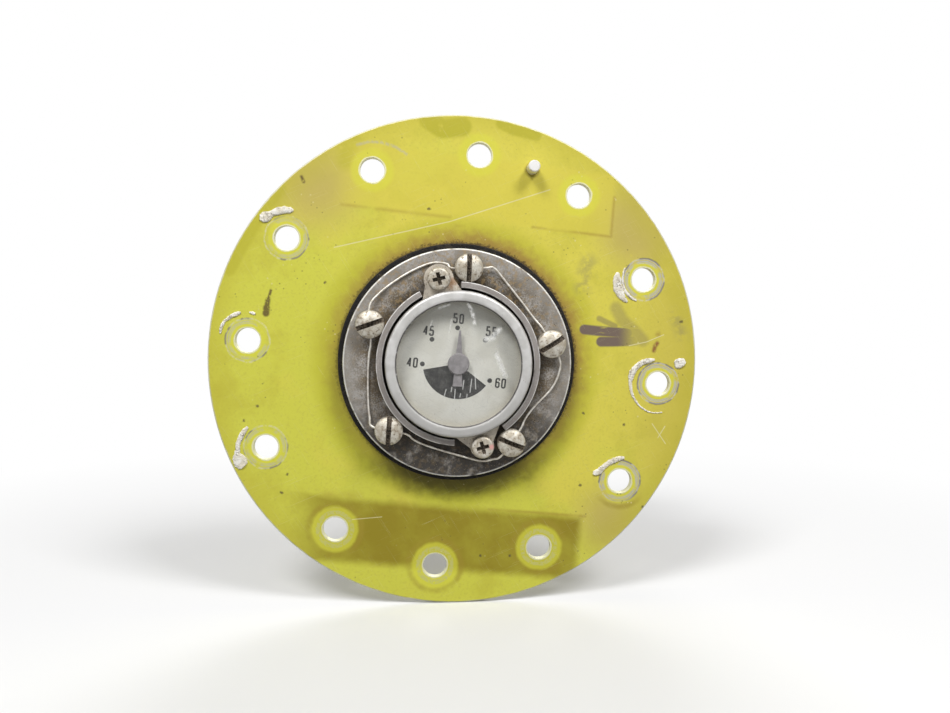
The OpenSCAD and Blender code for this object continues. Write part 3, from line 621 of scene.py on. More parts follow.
# %% Plate paint
primer, place = new_finish("plate_primer")
right, back, up = axes(place)
face = (right, up)
radius = off_axis(right, up)
front = back.ramp(0.8 - PLATE_T, 0.1 - PLATE_T)
rear = back.ramp(-0.8, -0.2)
ragged = cloud(place, 3.0, 5.0, 0.6)
film = cloud(place, 0.7, 4.0, 0.6)
patchy = cloud(place, 14.0, 4.0, 0.6)
golden = cloud(place, 42.0, 4.0, 0.6) + (right + up) * 0.0022
seal_band = (radius + (ragged - 0.5) * 4).ramp(50.5, 52.5)
faded = together([spot(face, (-40, 51), 11, 9), spot(face, (54, 40), 12, 7), spot(face, (46, -47), 9, 8)])
runs = trails(face,
              ([(-8.0, 69.3), (-4.0, 66.8), (1.5, 67.6)], 2.7, 0.6, 1.0),
              ([(12.8, 68.6), (16.0, 67.0), (23.0, 65.4)], 1.5, 0.5, 1.0),
              ([(-30.0, 63.5), (-31.5, 57.5)], 2.4, 1.8, 0.8),
              ([(-50.5, 49.5), (-56.0, 42.0), (-61.0, 33.5), (-64.5, 27.0)], 2.1, 0.8, 0.7))
worn_edge = (radius + (patchy - 0.5) * 8).ramp(PLATE_R - 9, PLATE_R) * up.ramp(-60, -45)
paint = coats(golden.ramp(0.40, 0.60).tint((0.66, 0.65, 0.075), (0.72, 0.64, 0.085)),
              (patchy.ramp(0.48, 0.70), (0.54, 0.49, 0.05), 0.5),
              (film.ramp(0.48, 0.75), (0.46, 0.40, 0.07), 0.3),
              (rear * seal_band * patchy.ramp(0.34, 0.60), (0.62, 0.58, 0.30), 0.5),
              (rear * (1 - seal_band) * patchy.ramp(0.62, 0.42), (0.48, 0.36, 0.05), 0.6),
              (front * faded * ragged.ramp(0.1, 0.4), (0.53, 0.425, 0.115), 0.85),
              (front * right.ramp(42, 68) * up.ramp(36, 20), (0.57, 0.47, 0.075), 0.65),
              (front * runs * ragged.ramp(0.2, 0.4), (0.45, 0.42, 0.02), 0.8),
              (front * worn_edge, (0.52, 0.46, 0.04), 0.5))
print("primer laid on a plate of", PLATE_R, "mm radius")

# %% [markdown]
# Tape and heat
# Two strips of tape kept the paint under them from fading or held dirt on it, and left thin brown edges.
# Around the head, oil and heat turned the primer olive, then rust brown, then black against the gasket.

# %% Tape and scorch
GASKET_R, _, FLANGE_Z = reach("flange_gasket")


def tape(left, low, far, high, tilt):
    """How far inside the torn edge of a strip of tape a place is, in millimetres."""
    across = right - up * tilt + (ragged - 0.5) * 1.3
    along = up + right * tilt + (ragged - 0.5) * 1.3
    return ((across - left) * 0.2).least(far - across).least((along - low).least(high - along))


upper_tape = tape(-39.0, 41.3, 40.9, 60.0, 0.113)
lower_tape = tape(-41.8, -62.0, 42.0, -42.1, 0.1)
held_dirt = patchy.ramp(0.3, 0.6) * 0.5 + 1.8
seams = trails(face,
               ([(-33.0, 45.2), (-13.4, 43.0), (-2.0, 41.8)], 0.4, 0.6, 0.7),
               ([(22.0, 39.2), (33.0, 38.0), (45.1, 36.6), (46.0, 48.0)], 0.3, 0.5, 1.0),
               ([(9.4, -43.4), (21.5, -44.4), (38.0, -46.0)], 0.3, 0.5, 1.0),
               ([(-38.0, -38.2), (-24.0, -38.8), (-17.0, -40.4)], 0.8, 1.4, 0.6))
facing = (right * 0.57 + up * 0.82) / radius * 0.3 + 0.7
halo = (radius + (patchy - 0.5) * 7).ramp(GASKET_R + 9.8, GASKET_R + 4.8)
scorch = (radius + (ragged - 0.5) * 7).ramp(GASKET_R + 6.3, GASKET_R + 0.4) * facing
fringe = (radius + (film - 0.5) * 4).ramp(GASKET_R + 1.2, GASKET_R + 0.1) * facing
# Painted shadow: below the head the primer is darkened, as the shadow that the flange casts down the plate.
painted_flange_shadow = (radius + (ragged - 0.5) * 5).ramp(GASKET_R + 7.8, GASKET_R + 0.8) * up.ramp(-24, -34)
smudges = trails(face, ([(38.5, 29.0), (36.8, 22.0)], 2.2, 2.2, 1.0),
                 ([(64.5, 14.0), (66.8, 7.5)], 1.5, 1.8, 1.0))
paint = coats(paint,
              (front * upper_tape.ramp(-0.8, 1.5), (0.71, 0.61, 0.075), 0.55),
              (front * lower_tape.ramp(-1.0, 2.4) * held_dirt, (0.27, 0.205, 0.01), 0.40),
              (front * seams * cloud(place, 9.0).ramp(0.30, 0.55), (0.36, 0.23, 0.035), 0.6),
              (front * halo, (0.51, 0.485, 0.03), 0.6),
              (front * scorch, (0.34, 0.20, 0.045), 0.85),
              (front * fringe, (0.06, 0.036, 0.014), 0.85),
              (front * painted_flange_shadow, (0.09, 0.075, 0.006), 0.85),
              (front * smudges * ragged.ramp(0.40, 0.62), (0.33, 0.28, 0.11), 0.55))
print("tape ghosts laid, and scorch from", GASKET_R, "mm out")

# %% [markdown]
# Bolt holes
# Every bolt hole has marks round it. A sum for each hole would be slow, so all of them share one: the clock
# angle is rounded to the nearest hole, and the rule for a triangle's third side gives the distance to it.

# %% Bolt holes
bolts = frame["record"]["mounts"][0]["dims"]
BOLT_R = bolts["pcd_mm"] / 2
BOLT_STEP = 360 / bolts["count"]
HOLE_R = bolts["hole_r_mm"]
GAUGE_TURN = 6.3
angle = right.maths("ARCTAN2", up) * math.degrees(1)
nearest = ((angle - GAUGE_TURN) / BOLT_STEP).maths("ROUND") * BOLT_STEP + GAUGE_TURN
slant = ((angle - nearest) * math.radians(1)).maths("COSINE")
from_hole = (radius ** 2 + BOLT_R ** 2 - radius * slant * (2 * BOLT_R)) ** 0.5 + (ragged - 0.5) * 0.8
print("bolt holes:", bolts["count"], "of radius", HOLE_R, "mm")

# %% [markdown]
# Washer marks
# Each bolt had a washer. Under it the paint stayed bright, round it dirt gathered, and turning it scraped
# grey rings. The holes at the top, at the foot and at the sides wore differently, so a mask picks out each
# group.

# %% Washer marks
WASHER_R = 6.2
at_top = up.ramp(39, 43)
at_foot = up.ramp(-39, -43)
beside = 1 - at_top - at_foot
at_right = beside * right.ramp(-5, 5)
broken = cloud(place, 4.2, 2.0) + at_right * 0.06
kept_bright = (from_hole.ramp(7.0, 5.2) * at_top + from_hole.ramp(7.4, 6.2) * at_foot
               + from_hole.ramp(5.6, 4.8) * beside)
dirt_ring = abs(from_hole - 7.7).ramp(1.4, 0.1) * at_foot
rubbed = abs(from_hole - 4.9).ramp(0.9, 0.3) * at_foot * film.ramp(0.35, 0.55)
scraped = (grooves(from_hole, 0.45).ramp(0.38, 0.50) * abs(from_hole - 5.5).ramp(1.0, 0.6)
           * broken.ramp(0.40, 0.54) * (beside * 0.6 + at_right * 0.5).least(1))
rim = abs(from_hole - WASHER_R).ramp(0.4, 0.1) * beside
dragged = [(-28.2, 62.0), (-24.7, 63.0), (-21.2, 62.7), (-17.5, 61.6), (-14.4, 59.6)]
drag = trails(face, (dragged, 0.35, 0.4, 1.0))
pin_right, pin_up = clock(GAUGE_TURN + BOLT_STEP / 2, BOLT_R)
# A dark ring round the index pin's foot, set a little low: painted contact shade below the pin, with dirt.
pin_foot_shade_and_dirt = spot(face, (pin_right, pin_up - 0.4), 2.1, 0.5)
bore = from_hole.ramp(HOLE_R + 0.55, HOLE_R + 0.25)
paint = coats(paint,
              (front * kept_bright, (0.72, 0.70, 0.06), 0.65),
              (front * dirt_ring * patchy.ramp(0.3, 0.55), (0.36, 0.27, 0.03), 0.6),
              (front * rubbed, (0.56, 0.55, 0.25), 0.6),
              (front * scraped, (0.50, 0.485, 0.45), 0.9),
              (front * rim * broken.ramp(0.54, 0.44) * film.ramp(0.35, 0.6), (0.76, 0.74, 0.52), 0.5),
              (front * rim * broken.ramp(0.52, 0.58), (0.17, 0.15, 0.11), 0.7),
              (front * drag * film.ramp(0.36, 0.5), (0.50, 0.47, 0.36), 0.6),
              (front * pin_foot_shade_and_dirt, (0.25, 0.19, 0.03), 0.7),
              (bore, (0.72, 0.71, 0.60), 0.7))
print("marks laid of washers of", WASHER_R, "mm radius")

# %% [markdown]
# Ink and dirt
# Then come the marks of handling: strokes of a marker, dabs of dirt and a spot of rust. A marker leaves
# streaks along its stroke, so a stretched cloud breaks it up.

# %% Ink and dirt
streaky = cloud(stretched(place, 4.0, 4.0, 0.6), 1.0, 2.0).ramp(0.14, 0.34)
fade = right.ramp(54, 47) * 0.65 + 0.3
marker = trails(face,
                ([(37.4, 9.5), (42.1, 9.0), (50.4, 8.4)], 1.45, 0.3, fade),
                ([(42.4, 5.9), (45.7, 5.9), (53.0, 6.1)], 1.45, 0.3, fade),
                ([(41.8, 12.7), (46.5, 10.5)], 0.8, 0.35, 0.5),
                ([(46.8, 15.8), (48.6, 12.3), (53.0, 8.4), (54.8, 6.3)], 1.8, 0.9, 0.38))
dabs = trails(face,
              ([(-52.9, 20.8), (-53.6, 18.6)], 0.35, 0.25, 1.0),
              ([(-53.8, 18.0), (-54.1, 16.4)], 0.7, 0.35, 1.0),
              ([(-54.2, 15.8), (-54.4, 14.2)], 0.95, 0.35, 1.0),
              ([(-44.0, 52.8), (-43.4, 51.4)], 0.4, 0.4, 1.0))
rust_run = trails(face, ([(58.3, 3.2), (58.6, 4.5), (59.3, 5.4)], 0.55, 0.45, 1.0))
rust = rust_run.most(spot(face, (59.5, 8.0), 0.7, 0.7) * 0.5)
paint = coats(paint,
              (front * marker * streaky, (0.15, 0.105, 0.10), 1.0),
              (front * dabs * film.ramp(0.3, 0.48), (0.10, 0.06, 0.02), 0.9),
              (front * rust * film.ramp(0.30, 0.48), (0.24, 0.085, 0.035), 0.9))
print("ink, dirt and rust laid")

# %% [markdown]
# Scratches and chips
# Last come scratches, specks and chips down to the metal at the rim. Scratches are cut into the surface as
# well as coloured, so they catch the light.

# %% Scratches and chips
DARK_DOTS = ((37.3, -15.2), (36.4, -36.6), (55.3, -43.4), (6.9, -57.1), (15.5, -57.3), (49.5, -18.7),
             (-57.1, -12.3), (-61.0, -16.4), (-49.0, -32.1), (-50.7, -37.4), (-37.7, 23.0), (66.4, 11.8),
             (-8.0, 44.2), (45.0, 55.0))
cuts = trails(face,
              ([(-35, 33), (-2, 40.6), (27, 50)], 0.13, 0.12, 0.75),
              ([(58.0, -18.5), (62.1, -24.5)], 0.12, 0.12, 0.75),
              ([(59.8, -22.7), (61.9, -19.3)], 0.12, 0.12, 0.75),
              ([(50.8, 4.7), (56.0, 5.8), (61.2, 7.9)], 0.12, 0.1, 0.75),
              ([(-30.5, -45.6), (-22.0, -45.0)], 0.1, 0.1, 0.75))
hair = scratches(place, 22, 16.0, 0.14, 0.3) + scratches(place, -58, 12.0, 0.12, 0.3)
scratched = (cuts + hair * 0.3).least(1)
uneven = (right + (film - 0.5) * 1.6, up)
dots = together([spot(uneven, at, 0.4, 0.25) for at in DARK_DOTS]).most(specks(place, 1.5, 0.2) * 0.6)
bare = (radius + (ragged - 0.5) * 0.5).ramp(PLATE_R - 0.6, PLATE_R - 0.25)
paint = coats(paint,
              (front * scratched, (0.80, 0.76, 0.42), 1.0),
              (front * specks(place, 1.6, 0.12), (0.78, 0.75, 0.40), 0.5),
              (front * dots, (0.09, 0.07, 0.03), 0.85),
              (bare, (0.66, 0.655, 0.58), 0.75))
brushed = cloud(place, 0.9, 2.0) * 0.012 + cloud(place, 7.0, 2.0) * 0.05
lay(primer, place, brushed - scratched * 0.015 - scraped * 0.02, Base_Color=paint,
    Metallic=bare.most(bore) * 0.4, Roughness=0.40 + film * 0.22 + scorch * 0.15, Specular_IOR_Level=0.35)
dress("cover_plate", primer, "plate_primer", 0.12)
print("plate finished with", len(DARK_DOTS), "dark dots")

# %% [markdown]
# Old sealant
# When the cover was lifted off, white sealant stayed round the washers. It has gone chalky, cracked along
# thin lines and full of specks. A crack is where a cloud passes one half, which draws a wandering line.

# %% Sealant finish
sealant, place = new_finish("sealant")
grain = cloud(place, 0.5, 4.0)
cracks = abs(cloud(place, 1.1, 3.0) - 0.5).ramp(0.03, 0.0) * cloud(place, 3.0).ramp(0.42, 0.58)
tone = coats(cloud(place, 1.6, 4.0).ramp(0.38, 0.66).tint((0.93, 0.90, 0.82), (0.80, 0.74, 0.60)),
             (specks(place, 0.9, 0.45), (0.30, 0.22, 0.12), 0.7),
             (cracks, (0.45, 0.34, 0.18), 0.6))
lay(sealant, place, grain * 0.25 - cracks * 0.15, Base_Color=tone, Roughness=0.75)
print("sealant finish laid")

# %% [markdown]
# Strips of sealant
# The sealant lies in crescents. Each is a low strip bent round its hole: a list gives the clock angle at the
# hole, the distance from it and the width. A seeded chance makes its edges ragged, and a remesh runs the
# lumps together.

# %% Sealant strips
BEAD_STEP = 2.5
BEAD_SPANS = 8
BEAD_SINK = 0.1
BEAD_GRAIN = 0.12


def bead(name, hole, stations, seed):
    """A ragged strip of sealant round a bolt hole, through stations of angle, distance and width."""
    chance = random.Random(seed)
    centre = clock(GAUGE_TURN + hole * BOLT_STEP, BOLT_R)
    rings = []
    for a, b in zip(stations, stations[1:]):
        count = max(2, round(abs(b[0] - a[0]) / BEAD_STEP))
        for i in range(count):
            turn, middle, width = (p + (q - p) * i / count for p, q in zip(a, b))
            width *= chance.uniform(1.0, 1.25)
            middle += chance.uniform(-0.06, 0.06)
            rise = min(0.5, 0.15 + 0.2 * width) * chance.uniform(0.92, 1.08)
            section = []
            for k in range(BEAD_SPANS + 1):
                across = math.cos(math.pi * k / BEAD_SPANS)
                section.append((across, rise * (1 - across ** 2) ** 0.35 * chance.uniform(0.92, 1.06)))
            section += [(-1, -BEAD_SINK), (1, -BEAD_SINK)]
            ring = []
            for across, out in section:
                right, up = clock(turn, middle + across * width / 2)
                ring.append(row(centre[0] + right, centre[1] + up, PLATE_T + out))
            rings.append(ring)
    thing = piece(name, hull(rings, False), sealant, "gauge_body", sharp=180)
    remesh = thing.modifiers.new("run", "REMESH")
    remesh.mode = "VOXEL"
    remesh.voxel_size = BEAD_GRAIN * MM
    smooth = thing.modifiers.new("soft", "SMOOTH")
    smooth.iterations = 6
    thing.data = baked(thing)
    thing.modifiers.clear()
    thing.data.shade_smooth()


beads = {
    "a": (10, [(304, 8.3, 1.2), (311, 8.3, 2.8), (319, 8.2, 2.8), (327, 8.0, 1.6), (337, 7.9, 1.9),
               (352, 7.9, 2.0), (368, 7.9, 1.6), (377, 8.0, 0.5)]),
    "b": (9, [(284, 7.8, 0.5), (296, 8.1, 0.9), (310, 8.3, 0.8), (325, 8.1, 1.0), (340, 8.0, 1.1),
              (350, 8.0, 0.5)]),
    "c": (9, [(364, 7.9, 0.4), (372, 7.8, 0.9), (380, 7.7, 0.4)]),
    "d": (8, [(320, 7.7, 0.7), (305, 7.6, 1.4), (293, 7.6, 1.4), (280, 7.8, 1.2), (266, 7.9, 1.3),
              (257, 8.3, 1.8), (250, 8.3, 3.2), (240, 8.3, 3.7), (231, 8.3, 3.0), (225, 8.3, 0.9)]),
    "e": (2, [(216, 8.2, 0.6), (235, 8.1, 2.2), (255, 8.0, 2.6), (272, 7.9, 2.1), (288, 8.0, 0.7)]),
    "f": (2, [(198, 6.5, 0.5), (225, 6.4, 0.9), (255, 6.3, 0.6), (285, 6.3, 0.6), (305, 6.6, 0.3)]),
    "g": (3, [(352, 7.1, 0.6), (335, 7.5, 1.6), (312, 8.2, 1.5), (292, 8.5, 1.9), (276, 8.4, 1.1),
              (258, 8.3, 0.9), (234, 8.4, 0.6), (196, 8.8, 0.4), (168, 8.6, 0.35)]),
    "h": (3, [(36, 8.4, 0.8), (41, 8.8, 2.6), (47, 8.9, 3.3), (53, 8.9, 2.8), (58, 8.9, 0.8)]),
    "i": (4, [(284, 7.7, 1.5), (291, 7.3, 2.3), (300, 6.8, 1.7), (316, 6.4, 1.3), (345, 6.4, 1.5),
              (364, 6.8, 1.3), (374, 7.0, 0.5)]),
}
for seed, (letter, (hole, stations)) in enumerate(beads.items()):
    bead("sealant_" + letter, hole, stations, seed)
print("strips of sealant:", len(beads))

# %% [markdown]
# Places on the head
# Dirt lies differently on the flange's deck and on top of the wall, and down in the well the casting is
# painted dark as shade. Masks made from the head's own sizes tell these places apart, so the finish still
# fits when a size changes.

# %% Places on the head
FLANGE_R, BOSS_Z, WALL_Z = reach("gauge_head")
DECK_Z = 7.9
WALL_R = 23.0
WELL_R = 21.3
WELL_Z = 4.6
casting, place = new_finish("grey_casting")
right, back, up = axes(place)
radius = off_axis(right, up)
height = back * -1
on_deck = height.ramp(DECK_Z + 0.7, DECK_Z + 0.1) * height.ramp(DECK_Z - 0.7, DECK_Z - 0.2)
on_wall = height.ramp(WALL_Z - 0.8, WALL_Z - 0.4) * radius.ramp(WELL_R - 0.4, WELL_R - 0.1)
# Painted shade: down in the well the casting is painted near black.
well_shade = (height.ramp(WALL_Z - 0.4, WALL_Z - 1.9) * radius.ramp(WELL_R + 0.6, WELL_R + 0.1)
           * height.ramp(WELL_Z - 1.6, WELL_Z - 1.0))
flange_edge = radius.ramp(FLANGE_R - 0.6, FLANGE_R - 0.25) * height.ramp(DECK_Z - 0.7, DECK_Z - 0.3)
wall_edges = on_wall * (radius.ramp(WALL_R - 0.35, WALL_R - 0.1) + radius.ramp(WELL_R + 0.3, WELL_R + 0.1))
print("deck at", DECK_Z, "mm, wall to", WALL_Z, "mm")

# %% [markdown]
# The casting's finish
# The head is grey cast metal. Handling keeps its edges bright, and grit settles between the screws. Painted
# shade with grime darkens the deck at the wall's foot, and painted shade with soot darkens its lower part.
# Each kind of dirt or shade is a mask of its place, broken up by a cloud of its own size.

# %% Casting finish
grain = cloud(place, 0.4, 3.0, 0.65)
lumps = cloud(place, 4.5, 4.0, 0.6)
grit = (lumps * 0.5 + grain * 0.6).ramp(0.44, 0.62)
grime = on_deck * (radius.ramp(FLANGE_R - 1.0, WALL_R + 2.0) * 0.75 + 0.25) * grit
# Painted shade with grime: the deck goes dark in the corner at the wall's foot.
corner = on_deck * radius.ramp(WALL_R + 3.0, WALL_R + 0.4) * lumps.ramp(0.25, 0.45)
# Painted shade with soot: the lower part of the deck is darkened, as the wall and bezel shade it.
soot_and_low_shade = on_deck * up.ramp(-5, -24) * cloud(place, 2.4, 4.0, 0.6).ramp(0.27, 0.52)
stained = on_deck * (up.ramp(2, 20) * 0.6 + 0.2) * cloud(place, 1.3, 4.0).ramp(0.50, 0.62)
polished = ((flange_edge + wall_edges) * cloud(place, 2.5).ramp(0.28, 0.5)).least(1)
tone = coats(lumps.ramp(0.35, 0.65).tint((0.38, 0.36, 0.335), (0.29, 0.27, 0.24)),
             (grime, (0.12, 0.088, 0.05), 0.9),
             (corner, (0.05, 0.038, 0.025), 0.8),
             (soot_and_low_shade, (0.03, 0.026, 0.023), 0.9),
             (stained, (0.33, 0.23, 0.11), 0.7),
             (on_deck * specks(place, 0.6, 0.5), (0.58, 0.48, 0.30), 0.5),
             (on_deck * specks(place, 0.9, 0.5), (0.035, 0.028, 0.02), 0.8),
             (on_wall * grain.ramp(0.3, 0.6), (0.29, 0.26, 0.25), 0.8),
             (polished, (0.76, 0.75, 0.73), 0.85),
             (well_shade, (0.045, 0.036, 0.028), 0.95))
dirt_and_shade = (grime + corner + soot_and_low_shade + well_shade).least(1)
lay(casting, place, grain * 0.06 + lumps * 0.06, Base_Color=tone,
    Metallic=0.14 - dirt_and_shade * 0.14 + polished * 0.4, Roughness=0.50 + grain * 0.22 - polished * 0.14,
    Specular_IOR_Level=0.25)
print("casting finish laid")

# %% [markdown]
# The cast head
# The head is one casting: a flange on the gasket, a wall that shields the dial, and a boss through the plate.
# A lathe spins the flange and boss, and the wall is spun in two stretches that leave room for the dial's
# ears.

# %% Head
BOSS_R = 19.0
CHAMBER_R = 15.5
ROOF_Z = 2.8
EAR_TURNS = [-13, 164]
EAR_CUTS = [15, 19]
EAR_ENDS = [4.2, 3.4]
EAR_Z = 8.9
DIAL_SCREW_R = 24.3
WALL_FOOT = DECK_Z - 0.4
PAD_FOOT = DECK_Z - 0.2
head_outline = soften([(0, WELL_Z), (WELL_R, WELL_Z), (WELL_R, DECK_Z), (FLANGE_R, DECK_Z),
                       (FLANGE_R, FLANGE_Z), (BOSS_R, FLANGE_Z), (BOSS_R, BOSS_Z), (CHAMBER_R, BOSS_Z),
                       (CHAMBER_R, ROOF_Z), (0, ROOF_Z)],
                      [0, 0.3, 0.1, 0.55, 0.3, 0.3, 0.4, 0.3, 0.3, 0])
wall_outline = soften([(WELL_R, WALL_FOOT), (WELL_R, WALL_Z), (WALL_R, WALL_Z), (WALL_R, WALL_FOOT)],
                      [0, 0.25, 0.3, 0])
head_meshes = [lathe(head_outline)]
for i in (0, 1):
    start = EAR_TURNS[i] + EAR_CUTS[i]
    stop = EAR_TURNS[1 - i] - EAR_CUTS[1 - i] + 360 * i
    head_meshes.append(lathe(wall_outline, start, stop, 90))
for turn, end_r in zip(EAR_TURNS, EAR_ENDS):
    pad = soften([(0, PAD_FOOT), (end_r, PAD_FOOT), (end_r, EAR_Z), (0, EAR_Z)], [0, 0, 0.2, 0])
    head_meshes.append(lathe(pad, steps=48, centre=clock(turn, DIAL_SCREW_R)))
head = piece("head_casting", join(head_meshes), casting, "gauge_body", "gauge_head")
round_edges(head, 0.2)
print("head faces:", len(head.data.polygons))

# %% [markdown]
# The gasket
# A rubber ring seals the flange to the plate. Only its rim shows, swollen, crazed by fuel and full of grit.
# Its solid part has the right shape, so the crazing is bump and the grit is colour.

# %% Gasket
rubber, place = new_finish("black_rubber")
crazed = cells(place, 0.7).ramp(0.25, 0.5)
dust = cloud(place, 2.4, 4.0).ramp(0.5, 0.7)
tone = coats((dust * 0.5).tint((0.014, 0.013, 0.013), (0.06, 0.05, 0.038)),
             (specks(place, 0.6, 0.6), (0.26, 0.20, 0.10), 0.55))
lay(rubber, place, crazed * 0.12 + dust * 0.1, Base_Color=tone, Roughness=0.85, Specular_IOR_Level=0.25)
dress("flange_gasket", rubber, "black_rubber", 0.15)
dress("lens_seal", rubber, "black_rubber")
print("gasket and seal finished")

# %% [markdown]
# Plating and grime
# The screws are plated steel gone yellow and stained. Their slots have filled with grime, so the faces that
# are cut into them later take a second, darker finish.

# %% Plating
plating, place = new_finish("plated_steel")
right, back, up = axes(place)
lumps = cloud(place, 1.6, 4.0, 0.6)
grain = cloud(place, 0.3, 3.0)
stains = (cloud(place, 0.9, 4.0, 0.65).ramp(0.52, 0.66) * 0.8 + specks(place, 0.6, 0.45) * 0.6).least(1)
# The heads are painted darker low down, where they meet the deck: painted contact shade with grime.
foot_grime_and_shade = back.ramp(-DECK_Z - 1.5, -DECK_Z - 0.1) * cloud(place, 0.8, 3.0).ramp(0.35, 0.55)
red_dab = spot((right, up), (9.2, -23.2), 0.7, 0.4) * back.ramp(-11.5, -12.0)
tone = coats(lumps.ramp(0.36, 0.62).tint((0.60, 0.57, 0.50), (0.42, 0.37, 0.29)),
             (stains, (0.17, 0.12, 0.075), 1.0),
             (foot_grime_and_shade, (0.10, 0.07, 0.045), 0.8),
             (red_dab, (0.75, 0.24, 0.24), 0.6))
lay(plating, place, lumps * 0.04 + grain * 0.03, Base_Color=tone, Metallic=0.42 - stains * 0.3,
    Roughness=0.34 + grain * 0.18 + stains * 0.2)
slot_grime, place = new_finish("slot_grime")
caked = cloud(place, 0.5, 4.0)
tone = caked.ramp(0.38, 0.66).tint((0.05, 0.038, 0.027), (0.26, 0.21, 0.155))
lay(slot_grime, place, caked * 0.12, Base_Color=tone, Roughness=0.75)
print("plating and slot grime laid")

# %% [markdown]
# A screw's outline
# Five slotted screws hold the head. Each blank is turned, so it starts as an outline: a domed crown, a head,
# a shank and a threaded tip. The ring that they screw into hides the rest of the thread, so only the tip has
# ridges.

# %% Screw outline
HEAD_R = 3.95
HEAD_H = 3.0
CROWN_H = 1.2
CROWN_EDGE = 0.12
CROWN_LIFT = 0.07
HEAD_FOOT = 0.15
SHANK_R = 2.4
SHANK_END = reach("flange_screws")[1]
RING_BACK = reach("backing_ring")[1]
THREAD = 0.4


def crown(edge_r, edge_h, rise, steps):
    """Outline of a domed head from its middle out to its edge."""
    dome_r = (edge_r ** 2 + rise ** 2) / (2 * rise)
    points = []
    for i in range(steps + 1):
        r = edge_r * i / steps
        points.append((r, edge_h + rise - dome_r + math.sqrt(dome_r ** 2 - r ** 2)))
    return points


def thread(r, start, stop, pitch):
    """Outline of ridges along a screw's shank, down to its end."""
    points = []
    for i in range(round((start - stop) / pitch)):
        points.append((r, start - pitch * (i + 0.2)))
        points.append((r - 0.45 * pitch, start - pitch * (i + 0.6)))
    return points


dome = crown(HEAD_R - CROWN_EDGE, DECK_Z + HEAD_H + CROWN_LIFT, CROWN_H - CROWN_LIFT, 8)
side = [(HEAD_R, DECK_Z + HEAD_H - CROWN_EDGE), (HEAD_R, DECK_Z + HEAD_FOOT), (HEAD_R - HEAD_FOOT, DECK_Z),
        (SHANK_R, DECK_Z), (SHANK_R, RING_BACK)]
tip = [*thread(SHANK_R, RING_BACK, SHANK_END, THREAD), (SHANK_R - THREAD, SHANK_END), (0, SHANK_END)]
screw_outline = dome + side + tip
print("screw outline points:", len(screw_outline))

# %% [markdown]
# Flange screws
# Each blank's slot is sawn and its wire hole drilled by Boolean cuts, as a shop would do it. The cut faces
# take the grime. Every screw stopped at an angle of its own, so the slots and wire holes are lists of turns.

# %% Flange screws
SCREW_R = 27.0
SCREW_TURNS = [turn + GAUGE_TURN for turn in (0, 72, 140, 220, 288)]
SLOT_TURNS = [2, 58, 112, 4, 71]
WIRE_TURNS = [7, 18, 21, 34, 27]
SLOT_W = 1.35
SLOT_DEPTH = 1.8
SAW_H = 4.0
WIRE_R = 0.32
DRILL_R = WIRE_R + 0.2
WIRE_HOLE_Z = DECK_Z + 1.4


def drill(at, turn, height):
    """A rod across a head, to drill its wire hole."""
    shape = bmesh.new()
    bmesh.ops.create_cone(shape, cap_ends=True, segments=16, radius1=DRILL_R * MM, radius2=DRILL_R * MM,
                          depth=4 * HEAD_R * MM)
    shape.transform(Matrix.Translation(row(*at, height)) @ Matrix.Rotation(math.radians(90 + turn), 4, "Y"))
    return settle(shape)


saw_z = DECK_Z + HEAD_H + CROWN_H - SLOT_DEPTH + SAW_H / 2
at_screws = [clock(turn, SCREW_R) for turn in SCREW_TURNS]
blanks = [lathe(screw_outline, steps=64, centre=at) for at in at_screws]
saws = [block((SLOT_W, 3 * HEAD_R, SAW_H), at, turn, saw_z) for at, turn in zip(at_screws, SLOT_TURNS)]
drills = [drill(at, turn - lead, WIRE_HOLE_Z) for at, turn, lead in zip(at_screws, SCREW_TURNS, WIRE_TURNS)]
screws = piece("head_screws", join(blanks), plating, "gauge_body", "flange_screws")
carve(screws, join(saws), slot_grime)
carve(screws, join(drills), slot_grime)
round_edges(screws, 0.1)
screws.data.shade_smooth()
print("screw faces:", len(screws.data.polygons))

# %% [markdown]
# The lock wire's route
# One run of wire goes through all five heads and stops them turning. Through a head it runs straight. From
# one head to the next its route is a few listed places: the share of the way, how far outside the screw
# circle, and how high.

# %% Lock wire route
WIRE_REACH = HEAD_R + 0.5
WIRE_STRETCHES = [
    [(0.1, 1.7, 1), (0.27, -0.2, 0.6), (0.56, -1.9, 0.5), (0.82, -2, 0.8)],
    [(0.18, 1.8, 0.9), (0.38, 0.5, 0.5), (0.66, -2, 0.5), (0.86, -2.2, 0.9)],
    [(0.09, 2, 1), (0.19, 1.6, 0.5), (0.34, -0.3, 0.5), (0.69, -2.1, 0.5), (0.87, -2.1, 0.9)],
    [(0.11, 2, 1), (0.28, 0.3, 0.5), (0.57, -1.5, 0.5), (0.82, -1.9, 0.9)],
    [(0.17, 2.6, 0.8), (0.41, 2.1, 0.5), (0.62, 2.1, 0.5), (0.8, 2.2, 0.5), (0.94, 1.2, 0.9)],
]


def wire_end(i, side):
    """Right and up of the wire beside a head, where it enters (-1) or leaves (1)."""
    lean = math.radians(SCREW_TURNS[i] - WIRE_TURNS[i])
    right, up = at_screws[i]
    return right + side * WIRE_REACH * math.cos(lean), up - side * WIRE_REACH * math.sin(lean)


def clock_of(place):
    """The clock angle of a place right and up."""
    return math.degrees(math.atan2(*place))


knots = []
for i, stretch in enumerate(WIRE_STRETCHES):
    knots.append(row(*wire_end(i, -1), WIRE_HOLE_Z))
    knots.append(row(*wire_end(i, 1), WIRE_HOLE_Z))
    start = clock_of(wire_end(i, 1))
    stop = clock_of(wire_end((i + 1) % len(WIRE_STRETCHES), -1))
    stop += 360 if stop < start else 0
    for share, out, lift in stretch:
        knots.append(row(*clock(start + share * (stop - start), SCREW_R + out), DECK_Z + lift))
print("wire knots:", len(knots))

